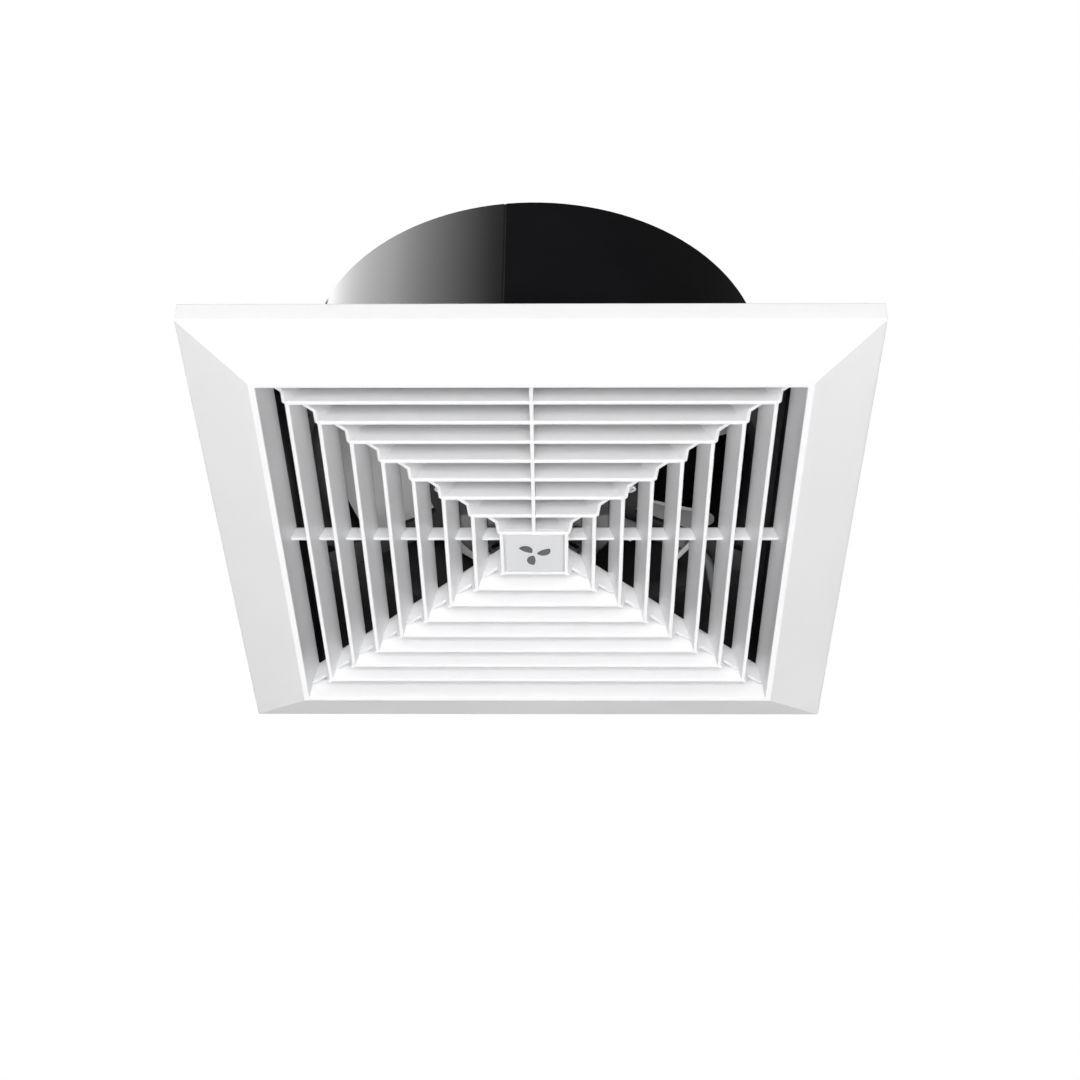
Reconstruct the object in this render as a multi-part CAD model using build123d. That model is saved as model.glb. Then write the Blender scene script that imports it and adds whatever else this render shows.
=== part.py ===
from build123d import *
import math
import os

# Ceiling extractor fan with direct discharge, as it hangs in the ceiling: +Z is up, the grille
# faces down, and the origin is the centre of the ceiling's lower face, where the flange bears.
# All sizes are in millimetres.

# --- Impeller, shroud and drum: these set every width ---
impeller_diameter = 235.0
impeller_blades = 6
impeller_rest_angle = 51.5      # where the first blade stands at rest, degrees from +X
hub_diameter = 76.0
hub_height = 34.0
hub_wall = 2.5
hub_edge_radius = 3.0
hub_rib_count = 6
hub_rib_thickness = 2.0
hub_rib_gap = 1.0               # hub ribs stop this far under the hub's top
hub_rib_rise = 6.0              # hub ribs start this far above the boss
blade_height = 30.0
blade_thickness = 2.2
blade_camber = 3.0
blade_root_camber = 0.4         # camber at the root, as a share of the tip's
blade_root_sink = 2.0           # blade's root, in from the hub's outside
blade_root_turn = 4.0           # blade's middle line at the root, degrees from its rest line
blade_sweep = 14.0              # how far the middle line has turned back by the tip, degrees
blade_root_spread = 50.0        # angle between a blade's edges at the root
blade_tip_spread = 38.0
blade_tip_round = 12.0
blade_overrun = 0.22            # share by which a blade's blank runs past its edges
tip_clearance = 3.0             # blade tip to shroud
shroud_wall = 1.5
shroud_gap = 8.0                # shroud to the drum's outside
drum_wall = 1.0

# --- Ceiling panel ---
panel_overlap = 35.0            # panel edge past the base box, each side
rim_height = 10.8
front_depth = 22.3
lip_past_base = 2.8             # lip's outer edge past the base box, each side
lip_width = 3.2
frame_lean = 5.0                # how far the inner wall leans in from lip to back edge
frame_lean_middle = 0.48        # share of that lean at the inner wall's middle
panel_wall = 2.2
panel_edge_radius = 0.6
slat_count = 7
slat_front = -19.7
slat_back = -2.2
slat_lean = 5.3
slat_wall = 1.5
bead_width = 2.2
bead_height = 1.6
bead_draft = 0.3
bead_neck = 0.8                 # height over which the bead runs into the slat's wall
bead_edge_radius = 0.4
slat_bow = 0.25
first_slot = 12.7               # lip to the first slat's front bead
badge_holder_side = 37.0
rib_thickness = 2.0
mid_rib_front = -9.4
corner_rib_front = -13.7
corner_post = 1.6
corner_post_heel = 0.6
badge_groove = 0.7
badge_thickness = 1.4
badge_recess = 0.1
badge_chamfer = 0.25
mark_height = 0.3
mark_radius = 9.5
mark_hub_radius = 1.6
mark_belly = 0.42               # leaf's belly, as a share of the mark's radius

# --- Base box and its mounting flange ---
base_margin = 5.0               # drum to the box's outside
base_wall = 2.0
flange_width = 13.0
flange_thickness = 2.0
fixing_hole_diameter = 4.5
flange_hole_inset = 6.5         # fixing holes and peg sockets, in from the flange's edge
peg_offset = 95.0
peg_diameter = 6.4
peg_clearance = 0.4
peg_foot_diameter = 10.0
peg_foot_height = 1.6
peg_fit = 0.05
peg_stub_gap = 0.2
peg_slot = 1.4
peg_slot_rise = 1.0             # slot's foot above the peg's foot
peg_tip_gap = 1.0
peg_tip_chamfer = 0.8
socket_wall = 2.4
socket_depth = 8.0
boss_gap = 2.0                  # socket mouth to the top of the panel's boss

# --- Inlet shroud, casing and the screws that hold the stack together ---
shroud_flange_thickness = 1.5
shroud_fit = 0.3
shroud_rim_gap = 1.0            # shroud's flange to the base's wall
bellmouth_height = 12.0
bellmouth_lip = 1.0             # straight run past the bellmouth before the tube
bell_middle_in = 0.72           # outer curve's middle, as shares of its draw and height
bell_middle_up = 0.52
bell_inner_middle_in = 0.78
bell_inner_middle_up = 0.42
shroud_top_gap = 1.0
casing_foot_width = 4.0
casing_foot_thickness = 1.2
casing_ear_radius = 8.0
casing_screw_angle = 30.0
casing_screw_offset = 12.0      # screw circle outside the drum
seam_angle = -96.7
seam_groove = 1.0
seam_depth = 0.4
seam_strip_width = 18.0
seam_strip_thickness = 0.8
outlet_depth = 38.4             # impeller's top to the drum's top

# --- Screws (M4) and the shape of a pan head ---
screw_diameter = 4.0
screw_hole_clearance = 0.4
screw_head_diameter = 7.6
screw_head_height = 2.4
nut_across_flats = 7.0
nut_height = 3.0
screw_end = 1.0                 # thread that shows past the nut
head_round = 0.45               # pan head's rounding, as a share of its height
recess_width = 0.55             # cross recess, as a share of the head's diameter
recess_blade = 1.0
recess_depth = 0.7

# --- Motor ---
motor_clearance = 3.0           # motor's front above the ceiling plane
motor_diameter = 92.0
motor_height = 37.0
motor_wall = 2.5
motor_edge_radius = 3.0
vent_count = 12
vent_width = 3.2
vent_inner_radius = 22.0
vent_rim = 12.0                 # vents' outer ends, in from the can's outside
motor_split = 18.0              # joint of the two end bells above the motor's front
bearing_diameter = 22.0
bearing_width = 7.0
bearing_cover = 2.0
bearing_boss_wall = 2.5
shield_inset = 2.4              # bearing's shield groove, in from the race's edges
shield_depth = 0.6
shaft_diameter = 8.0
shaft_running_clearance = 0.03
shaft_hole_clearance = 1.5
stator_fit = 0.1                # stator's outside to the can, each side
stator_bore = 44.0
stator_length = 16.0
stator_slots = 12
air_gap = 0.5
winding_overhang = 6.0
winding_inner_radius = 24.0
stator_yoke = 8.4               # iron outside the winding slots
winding_edge_radius = 1.8
slot_width = 6.0
slot_mouth = 2.4
slot_liner = 0.2
through_bolt_inset = 3.7        # bolts, in from the stator's outside
through_bolt_gap = 0.4          # past the motor's back
rotor_ring_height = 2.0
rotor_ring_inner_radius = 15.0
rotor_ring_step = 0.8
lug_thickness = 2.5
lug_width = 14.0
lug_below_top = 4.0             # lug's top below the motor's back
lug_screw_offset = 6.5          # screw circle outside the motor can
grommet_height = 3.0
grommet_diameter = 10.0
grommet_edge_radius = 0.6
bracket_thickness = 2.5
bracket_arm_width = 16.0
bracket_ring_clearance = 1.0
bracket_ring_width = 13.0

# --- Impeller fixing ---
impeller_gap = 3.0              # motor's back to the hub
hub_boss_diameter = 20.0
hub_boss_start = 7.0
drive_pin_diameter = 3.0
drive_pin_length = 17.0
washer_diameter = 16.0
washer_thickness = 1.2
impeller_nut_flats = 13.0
nut_grip = 4.0
shaft_end = 7.0                 # shaft past the hub
shaft_chamfer = 0.5
pin_slot_play = 1.0

# --- Backdraft damper at the outlet ---
axle_below_top = 9.4
axle_diameter = 4.0
axle_fit = 0.02
knuckle_diameter = 8.0
knuckle_clearance = 0.06
knuckle_gap = 0.6
knuckle_count = 8
flap_thickness = 1.2
flap_edge_gap = 3.0
flap_seat_gap = 0.3
flap_below_axle = 1.5
flap_notch = 4.6
flap_root = 2.4
seat_thickness = 1.5
seat_ledge = 7.0
seat_skirt = 8.5
axle_lug_length = 5.8
axle_lug_half_width = 5.0
axle_lug_gap = 1.5              # flap's notch round the axle's lugs
axle_end_gap = 0.6
flap_rib_offset = 0.45          # stiffening ribs off the middle, as a share of the flap's radius
flap_rib_thickness = 2.0
flap_rib_height = 3.0
flap_rib_inset = 12.0

# --- Wiring box on the base's far corner ---
wiring_side = 39.0
wiring_inset = 1.0
wiring_height = 40.0
wiring_wall = 2.0
wiring_cover_thickness = 2.0
wiring_corner_cut = 9.0
wiring_post_diameter = 7.0
wiring_post_height = 12.0
wiring_post_sink = 1.0          # how far a post runs into the wall
cover_screw_diameter = 3.0
cover_screw_head_diameter = 5.6
cover_screw_head_height = 1.8
cover_screw_grip = 8.0
gland_bore_diameter = 7.0
gland_thread_diameter = 12.0
gland_nut_diameter = 17.0
gland_nut_length = 5.0
gland_cap_diameter = 15.0
gland_cap_length = 9.0
gland_cap_taper = 2.5
gland_cap_taper_height = 2.0
gland_thread_inside = 3.0       # thread past the wiring box wall
gland_hole_play = 0.1
gland_height = 18.4
gland_from_edge = 11.0
capacitor_size = (12.0, 33.0, 22.0)
capacitor_edge_radius = 1.5
locknut_thickness = 2.6
locknut_inset = 0.5             # locknut's flats, in from the gland nut's outside
block_size = (17.0, 15.0, 14.0)
block_ways = 3
block_screw_radius = 1.8
block_screw_depth = 3.0
block_entry_radius = 1.7
block_entry_depth = 4.0
block_entry_height = 5.0
block_screw_row = 0.65          # screw row, in from the entry side, as a share of the block
content_gap = 1.0

# --- Motor lead ---
lead_diameter = 5.0
lead_tie_thickness = 1.2
lead_tie_width = 3.0
lead_sweep_radius = 30.0
lead_bend_radius = 5.5
lead_turn = 0.8                 # share of the arm that the lead follows
lead_from_corner = 12.0         # lead's hole, in from the wiring box's inner corner
lead_height = 11.0              # lead's end above the wiring box floor
lead_hole_clearance = 0.3
grommet_wall = 1.6
grommet_lip = 1.4

# --- Values worked out from the ones above ---
impeller_radius = impeller_diameter / 2
shroud_inner = impeller_radius + tip_clearance
shroud_outer = shroud_inner + shroud_wall
drum_radius = shroud_inner + shroud_wall + shroud_gap
drum_bore = drum_radius - drum_wall
hub_radius = hub_diameter / 2
blade_root = hub_radius - blade_root_sink
base_half = drum_radius + base_margin
base_inner = base_half - base_wall
flange_half = base_half + flange_width
fixing_offset = flange_half - flange_hole_inset
panel_half = base_half + panel_overlap
lip_half = base_half + lip_past_base
bevel_run = panel_half - lip_half
lip_inner = lip_half - lip_width
throat_half = lip_inner - frame_lean
slat_first = lip_inner - first_slot
badge_half = badge_holder_side / 2
slat_pitch = (slat_first - badge_half) / slat_count
pocket_half = badge_half - bead_width
pocket_floor = slat_front + badge_recess + badge_thickness

motor_radius = motor_diameter / 2
motor_bottom = motor_clearance
motor_top = motor_bottom + motor_height
lug_top = motor_top - lug_below_top
bracket_top = lug_top - lug_thickness - grommet_height
bracket_bottom = bracket_top - bracket_thickness
plate_bottom = bracket_top + shroud_flange_thickness
base_top = plate_bottom + base_wall
hub_bottom = motor_top + impeller_gap
pin_z = hub_bottom + hub_boss_start
hub_top = hub_bottom + hub_height
shroud_top = hub_top + shroud_top_gap
drum_top = hub_top + outlet_depth
blade_bottom = hub_bottom + (hub_height - blade_height) / 2
screw_radius = screw_diameter / 2
screw_hole = screw_radius + screw_hole_clearance / 2
casing_screw_circle = drum_radius + casing_screw_offset
casing_angles = [casing_screw_angle, 180 - casing_screw_angle,
                 180 + casing_screw_angle, 360 - casing_screw_angle]
lug_screw_circle = motor_radius + lug_screw_offset
lug_angles = [0, 90, 180, 270]
bolt_angles = [45, 135, 225, 315]
bearing_radius = bearing_diameter / 2
shaft_radius = shaft_diameter / 2
stator_radius = motor_radius - motor_wall - stator_fit
winding_outer_radius = stator_radius - stator_yoke
winding_edge = min(winding_edge_radius, 0.4 * (winding_outer_radius - winding_inner_radius))
bolt_circle = stator_radius - through_bolt_inset
vent_outer_radius = motor_radius - vent_rim
stator_mid = motor_bottom + motor_split
stator_bottom = stator_mid - stator_length / 2
stator_top = stator_mid + stator_length / 2
axle_z = drum_top - axle_below_top
flap_top = axle_z - flap_below_axle
flap_bottom = flap_top - flap_thickness
seat_top = flap_bottom - flap_seat_gap
wiring_high = base_half - wiring_inset
wiring_low = wiring_high - wiring_side
wiring_floor = base_top + wiring_wall
wiring_top = base_top + wiring_height
gland_place = Pos(wiring_low, wiring_high - gland_from_edge, base_top + gland_height)
lead_radius = lead_diameter / 2
lead_z = bracket_bottom - lead_radius
lead_corner = wiring_low + lead_from_corner


# --- Helpers ---
def disc(radius, low, high, x=0.0, y=0.0):
    """Upright cylinder between two heights."""
    standing = (Align.CENTER, Align.CENTER, Align.MIN)
    return Pos(x, y, low) * Cylinder(radius, high - low, align=standing)


def tube(outer, inner, low, high, x=0.0, y=0.0):
    """Upright tube between two heights."""
    return disc(outer, low, high, x, y) - disc(inner, low, high, x, y)


def block(x_range, y_range, z_range):
    """Box between two corners, given as a range along each axis."""
    sizes = [high - low for low, high in (x_range, y_range, z_range)]
    place = Pos(x_range[0], y_range[0], z_range[0])
    return place * Box(*sizes, align=(Align.MIN, Align.MIN, Align.MIN))


def plate(half, low, high):
    """Square plate centred on the axis."""
    return block((-half, half), (-half, half), (low, high))


def polar(radius, angle):
    """Point at a radius and an angle in degrees."""
    return radius * math.cos(math.radians(angle)), radius * math.sin(math.radians(angle))


def upright(points):
    """Face in the XZ plane through (x, z) points."""
    return Plane.XZ * make_face(Polyline(*points, close=True))


def revolved(points):
    """Solid of revolution about Z from (radius, z) points."""
    return revolve(upright(points), Axis.Z)


def square_ring(section):
    """Carries a section in the XZ plane round a square, with mitred corners."""
    reach = 2 * panel_half
    side = extrude(section, amount=reach, both=True)
    corner = make_face(Polyline((0, 0), (reach, -reach), (reach, reach), close=True))
    wedge = Pos(0, 0, -reach) * extrude(corner, amount=2 * reach)
    side = side & wedge
    return side.fuse(*[Rot(0, 0, angle) * side for angle in (90, 180, 270)])


def at_polar(shape, radius, angles):
    """Copies of a shape on a circle, each turned to face outwards."""
    return [Rot(0, 0, angle) * (Pos(radius, 0, 0) * shape) for angle in angles]


def cut_all(shape, tools):
    """Takes several tools from one shape."""
    return shape.cut(*tools)


def pan_screw(diameter, head_diameter, head_height, length):
    """Screw whose head stands on z = 0 and whose shank runs down."""
    head = disc(head_diameter / 2, 0, head_height)
    top_edge = head.edges().filter_by(GeomType.CIRCLE).sort_by(Axis.Z)[-1]
    head = fillet(top_edge, head_height * head_round)
    recess = Pos(0, 0, head_height) * Box(head_diameter * recess_width, recess_blade, 2 * recess_depth)
    cross = recess + Rot(0, 0, 90) * recess
    return head + disc(diameter / 2, -length, 0) - cross


def hex_nut(bore, low):
    """Nut on a thread of the given radius, from a height upwards."""
    outline = RegularPolygon(nut_across_flats / 2, 6, major_radius=False)
    return Pos(0, 0, low) * extrude(outline, amount=nut_height) - disc(bore, low, low + nut_height)


# --- Panel ---
def frame_section(back=slat_back, shell=True):
    """Section of the panel's frame: rim, bevel, flat lip and a leaning inner wall."""
    inner_mid = (lip_inner - frame_lean_middle * frame_lean, mid_rib_front)
    outer = [
        Line((panel_half, 0), (panel_half, -rim_height)),
        Line((panel_half, -rim_height), (lip_half, -front_depth)),
        Line((lip_half, -front_depth), (lip_inner, -front_depth)),
        ThreePointArc((lip_inner, -front_depth), inner_mid, (throat_half, back)),
    ]
    if not shell:
        closing = Polyline((throat_half, back), (throat_half, 0), (panel_half, 0))
        return Plane.XZ * make_face([*outer, closing])
    wall = panel_wall
    slope = math.atan2(front_depth - rim_height, bevel_run)
    rise = wall / math.cos(slope)
    rim_inner = panel_half - wall
    rim_low = -rim_height + rise - wall * math.tan(slope)
    lip_back = (lip_inner + wall, -front_depth + wall)
    bevel_x = lip_half - (rise - wall) / math.tan(slope)
    inner = [
        Line((throat_half, back), (throat_half + slat_wall, back)),
        ThreePointArc((throat_half + slat_wall, back),
                      (inner_mid[0] + 0.5 * (wall + slat_wall), inner_mid[1]), lip_back),
        Line(lip_back, (bevel_x, lip_back[1])),
        Line((bevel_x, lip_back[1]), (rim_inner, rim_low)),
        Line((rim_inner, rim_low), (rim_inner, 0)),
        Line((rim_inner, 0), (panel_half, 0)),
    ]
    face = make_face([*outer, *inner])
    corners = [v for v in face.vertices()
               if abs(v.Y + rim_height) < 1e-4 or abs(v.Y + front_depth) < 1e-4]
    return Plane.XZ * fillet(corners, panel_edge_radius)


def peg_places():
    return [(sx * fixing_offset, sy * peg_offset) for sx in (-1, 1) for sy in (-1, 1)]


def make_panel_frame():
    """Square moulding that hides the ceiling cut-out, open at the back, with four peg bosses."""
    shell = square_ring(frame_section())
    solid = square_ring(frame_section(shell=False))
    top = -(flange_thickness + socket_depth + boss_gap)
    spigot = peg_diameter / 2
    bosses = [disc(peg_foot_diameter / 2, -front_depth, top, x, y) & solid
              for x, y in peg_places()]
    holes = [disc(spigot, top - 2 * peg_foot_height, top + 1, x, y) for x, y in peg_places()]
    return cut_all(shell.fuse(*bosses), holes)


def slat_section(front_half):
    """Section of one slat: a bead at the front, then a thin wall that leans inwards going up."""
    depth = slat_back - slat_front
    inside = front_half - bead_width
    back_inside = inside - slat_lean
    back_outside = back_inside + slat_wall
    bead_top = slat_front + bead_height
    bead_back = (front_half - bead_draft, bead_top)
    neck_x = inside - slat_lean * (bead_height + bead_neck) / depth + slat_wall + slat_bow / 2
    neck = (neck_x, bead_top + bead_neck)
    middle = (slat_front + slat_back) / 2
    middle_x = inside - slat_lean / 2 + slat_bow
    edges = [
        Line((inside, slat_front), (front_half, slat_front)),
        Line((front_half, slat_front), bead_back),
        Line(bead_back, neck),
        ThreePointArc(neck, (middle_x + slat_wall, middle), (back_outside, slat_back)),
        Line((back_outside, slat_back), (back_inside, slat_back)),
        ThreePointArc((back_inside, slat_back), (middle_x, middle), (inside, slat_front)),
    ]
    face = make_face(edges)
    front = [v for v in face.vertices() if v.Y < bead_top + bead_neck / 2]
    return Plane.XZ * fillet(front, bead_edge_radius)


def corner_rib():
    """Web along a diagonal, with a post down to the bead at every slat corner."""
    root = math.sqrt(2)
    points = [(0, slat_back), (panel_half * root, slat_back), (panel_half * root, corner_rib_front)]
    halves = [slat_first - index * slat_pitch for index in range(slat_count + 1)]
    for half in halves:
        points += [
            ((half + corner_post) * root, corner_rib_front),
            ((half + corner_post / 4) * root, slat_front),
            ((half - bead_width) * root, slat_front),
            ((half - bead_width - corner_post_heel) * root, corner_rib_front),
        ]
    points.append((0, corner_rib_front))
    return extrude(upright(points), amount=rib_thickness / 2, both=True)


def make_louvre_grille():
    """Nested square slats joined by ribs on the diagonals and the middles, round a badge holder."""
    rings = [square_ring(slat_section(slat_first - index * slat_pitch))
             for index in range(slat_count + 1)]
    across = (-rib_thickness / 2, rib_thickness / 2)
    recessed = (mid_rib_front, slat_back)
    ribs = [block((-panel_half, 0), across, recessed),
            block((0, panel_half), across, recessed),
            block(across, (0, panel_half), recessed),
            block(across, (-panel_half, 0), (slat_front, slat_back))]
    ribs += [Rot(0, 0, angle) * corner_rib() for angle in (45, 135, 225, 315)]
    filled = square_ring(frame_section(shell=False))
    beyond = 2 * panel_half
    outside = square_ring(upright([(throat_half, -slat_back), (beyond, -slat_back),
                                   (beyond, -2 * front_depth), (lip_half, -2 * front_depth),
                                   (lip_half, slat_back), (throat_half, slat_back)]))
    trimmed = [rib - filled - outside for rib in ribs]
    back_plate = plate(pocket_half + bead_width / 2, pocket_floor, pocket_floor + panel_wall)
    core = plate(pocket_half, slat_front - 1, pocket_floor)
    grille = rings[0].fuse(*rings[1:], *trimmed, back_plate)
    return grille - core


def make_badge_plate():
    """Small inset plate at the centre of the grille."""
    half = pocket_half - badge_groove
    body = plate(half, pocket_floor - badge_thickness, pocket_floor)
    return chamfer(body.faces().sort_by(Axis.Z)[0].edges(), badge_chamfer)


def make_badge_mark():
    """Generic three-bladed fan sign, slightly raised from the badge plate."""
    low = pocket_floor - badge_thickness - mark_height
    high = pocket_floor - badge_thickness
    root = (mark_hub_radius, mark_height)
    tip = (mark_radius, mark_height)
    middle = (mark_hub_radius + mark_radius) / 2
    leaf = make_face([
        ThreePointArc(root, (middle, mark_belly * mark_radius), tip),
        ThreePointArc(tip, (middle, -2 * mark_height), root),
    ])
    blade = Pos(0, 0, low) * extrude(leaf, amount=high - low)
    return Compound([Rot(0, 0, angle) * blade for angle in (90, 210, 330)])


def make_panel_pegs():
    """Split pegs that push up into the base's sockets and hold the panel on."""
    foot_low = -(flange_thickness + socket_depth + boss_gap)
    tip = -(flange_thickness + peg_tip_gap)
    pegs = []
    for x, y in peg_places():
        peg = disc(peg_foot_diameter / 2, foot_low, foot_low + peg_foot_height, x, y)
        peg += disc(peg_diameter / 2 - peg_fit, foot_low - 2 * peg_foot_height + peg_stub_gap,
                    foot_low, x, y)
        shank = disc(peg_diameter / 2, foot_low, tip, x, y)
        tip_edge = shank.edges().filter_by(GeomType.CIRCLE).sort_by(Axis.Z)[-1]
        shank = chamfer(tip_edge, peg_tip_chamfer)
        slot_low = foot_low + peg_foot_height + peg_slot_rise
        slot = block((x - peg_slot / 2, x + peg_slot / 2), (y - peg_diameter, y + peg_diameter),
                     (slot_low, tip + 1))
        pegs.append(peg + shank - slot)
    return Compound(pegs)


# --- Base, shroud and casing ---
def make_base_frame():
    """Box that goes up through the ceiling cut-out, with the flange that bears on the ceiling."""
    body = plate(base_half, -flange_thickness, base_top) + plate(flange_half, -flange_thickness, 0)
    body -= plate(base_inner, -flange_thickness, plate_bottom)
    bore = peg_diameter / 2 + peg_clearance
    sockets = [disc(bore + socket_wall, -flange_thickness - socket_depth, -flange_thickness, x, y)
               for x, y in peg_places()]
    body = body.fuse(*sockets)
    lead_hole = lead_radius + lead_hole_clearance + grommet_wall
    tools = [disc(drum_bore, plate_bottom - 1, base_top + 1),
             disc(lead_hole, plate_bottom - 1, base_top + 1, lead_corner, lead_corner)]
    tools += [disc(bore, -flange_thickness - socket_depth - 1, -flange_thickness, x, y)
              for x, y in peg_places()]
    tools += [disc(fixing_hole_diameter / 2, -flange_thickness - 1, 1, x, y)
              for x in (-fixing_offset, fixing_offset) for y in (-fixing_offset, fixing_offset)]
    return cut_all(body, tools + screw_holes(plate_bottom, base_top))


def ears(low, high, inner):
    """Four screw ears that stand out from a round flange."""
    ear = disc(casing_ear_radius, low, high) + block(
        (-(casing_screw_circle - inner), 0), (-casing_ear_radius, casing_ear_radius), (low, high))
    return at_polar(ear, casing_screw_circle, casing_angles)


def screw_holes(low, high):
    return at_polar(disc(screw_hole, low - 1, high + 1), casing_screw_circle, casing_angles)


def make_inlet_shroud():
    """Bellmouth and short tube round the impeller, clamped under the base's top plate."""
    mouth = drum_bore - shroud_fit
    low = plate_bottom - shroud_flange_thickness
    bell_top = low + bellmouth_height
    rim = base_inner - shroud_rim_gap
    draw = mouth - shroud_outer
    outer_middle = (mouth - bell_middle_in * draw, low + bell_middle_up * bellmouth_height)
    inner_middle = (mouth - bell_inner_middle_in * draw - shroud_wall,
                    low + bell_inner_middle_up * bellmouth_height)
    outer_end = (shroud_outer, bell_top + bellmouth_lip)
    section = [
        Line((rim, low), (rim, plate_bottom)),
        Line((rim, plate_bottom), (mouth, plate_bottom)),
        ThreePointArc((mouth, plate_bottom), outer_middle, outer_end),
        Line(outer_end, (shroud_outer, shroud_top)),
        Line((shroud_outer, shroud_top), (shroud_inner, shroud_top)),
        Line((shroud_inner, shroud_top), (shroud_inner, bell_top)),
        ThreePointArc((shroud_inner, bell_top), inner_middle, (mouth - shroud_wall, low)),
        Line((mouth - shroud_wall, low), (rim, low)),
    ]
    ring = revolve(Plane.XZ * make_face(section), Axis.Z)
    keep_out = disc(mouth, low - 1, plate_bottom + 1)
    tabs = [ear - keep_out for ear in ears(low, plate_bottom, drum_radius)]
    return cut_all(ring.fuse(*tabs), screw_holes(low, plate_bottom))


def make_drum_casing():
    """Rolled sheet drum with a turned-out foot, four screw ears and one vertical seam."""
    foot_top = base_top + casing_foot_thickness
    body = disc(drum_radius, base_top, drum_top)
    body += disc(drum_radius + casing_foot_width, base_top, foot_top)
    body = body.fuse(*ears(base_top, foot_top, drum_radius))
    across = (-seam_groove / 2, seam_groove / 2)
    groove = block((drum_radius - seam_depth, drum_radius + 1), across, (foot_top + 1, drum_top + 1))
    tools = [disc(drum_bore, base_top - 1, drum_top + 1), Rot(0, 0, seam_angle) * groove]
    return cut_all(body, tools + screw_holes(base_top, foot_top))


def make_seam_strip():
    """Strip spot-welded behind the drum's seam."""
    low = base_top + base_wall
    high = seat_top - seat_thickness - seat_skirt - 1
    ring = tube(drum_bore, drum_bore - seam_strip_thickness, low, high)
    across = (-seam_strip_width / 2, seam_strip_width / 2)
    sector = block((0, 2 * drum_radius), across, (low, high))
    return ring & (Rot(0, 0, seam_angle) * sector)


def make_casing_screws():
    """Screws through casing, base plate, shroud and motor bracket."""
    stack = base_top + casing_foot_thickness - bracket_bottom
    length = stack + nut_height + screw_end
    screw = pan_screw(screw_diameter, screw_head_diameter, screw_head_height, length)
    screw = Pos(0, 0, base_top + casing_foot_thickness) * screw
    return Compound(at_polar(screw, casing_screw_circle, casing_angles))


def make_casing_nuts():
    nut = hex_nut(screw_radius, bracket_bottom - nut_height)
    return Compound(at_polar(nut, casing_screw_circle, casing_angles))


# --- Motor and its bracket ---
def make_motor_bracket():
    """Four-armed steel spider: a ring round the motor and arms out to the base's screws."""
    inner = motor_radius + bracket_ring_clearance
    outer = inner + bracket_ring_width
    body = disc(outer, bracket_bottom, bracket_top)
    half = bracket_arm_width / 2
    arm = block((inner, casing_screw_circle), (-half, half), (bracket_bottom, bracket_top))
    arm += disc(half, bracket_bottom, bracket_top, casing_screw_circle)
    body = body.fuse(*[Rot(0, 0, angle) * arm for angle in casing_angles])
    lug_hole = disc(screw_hole, bracket_bottom - 1, bracket_top + 1)
    tools = [disc(inner, bracket_bottom - 1, bracket_top + 1)]
    tools += screw_holes(bracket_bottom, bracket_top)
    tools += at_polar(lug_hole, lug_screw_circle, lug_angles)
    return cut_all(body, tools)


def make_motor_grommets():
    """Rubber washers that keep the motor's hum out of the bracket."""
    ring = tube(grommet_diameter / 2, screw_hole, bracket_top, bracket_top + grommet_height)
    outer_edges = ring.edges().filter_by(GeomType.CIRCLE).group_by(SortBy.RADIUS)[-1]
    ring = fillet(outer_edges, grommet_edge_radius)
    return Compound(at_polar(ring, lug_screw_circle, lug_angles))


def make_motor_mount_screws():
    """Screws up through bracket, grommet and motor lug, head below."""
    length = lug_top - bracket_bottom + nut_height + screw_end
    screw = pan_screw(screw_diameter, screw_head_diameter, screw_head_height, length)
    screw = Pos(0, 0, bracket_bottom) * (Rot(180, 0, 0) * screw)
    return Compound(at_polar(screw, lug_screw_circle, lug_angles))


def make_motor_mount_nuts():
    return Compound(at_polar(hex_nut(screw_radius, lug_top), lug_screw_circle, lug_angles))


def bell_cup(low, high, floor_at_low):
    """Cup of an end bell with a bearing boss inside and rounded outer edge."""
    body = disc(motor_radius, low, high)
    edge = body.edges().filter_by(GeomType.CIRCLE).sort_by(Axis.Z)[0 if floor_at_low else -1]
    body = fillet(edge, motor_edge_radius)
    inner = motor_radius - motor_wall
    boss_radius = bearing_radius + bearing_boss_wall
    if floor_at_low:
        cavity = disc(inner, low + motor_wall, high)
        boss = disc(boss_radius, low + motor_wall / 2, low + bearing_cover + bearing_width)
        pocket = disc(bearing_radius, low + bearing_cover, high)
    else:
        cavity = disc(inner, low, high - motor_wall)
        boss = disc(boss_radius, high - bearing_cover - bearing_width, high - motor_wall / 2)
        pocket = disc(bearing_radius, low, high - bearing_cover)
    return body - cavity + boss - pocket


def vent_slots(low, high):
    """Cooling slots round the flat of an end bell."""
    slot = block((vent_inner_radius, vent_outer_radius), (-vent_width / 2, vent_width / 2), (low, high))
    step = 360 / vent_count
    return [Rot(0, 0, step * (index + 0.5)) * slot for index in range(vent_count)]


def bolt_holes(low, high):
    """Holes for the motor's long bolts."""
    return at_polar(disc(screw_hole, low - 1, high + 1), bolt_circle, bolt_angles)


def make_motor_front_bell():
    """Lower half of the motor can, on the room side."""
    cup = bell_cup(motor_bottom, motor_bottom + motor_split, True)
    tools = vent_slots(motor_bottom - 1, motor_bottom + 1.1 * motor_wall)
    tools += bolt_holes(motor_bottom, stator_mid)
    return cut_all(cup, tools)


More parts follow.
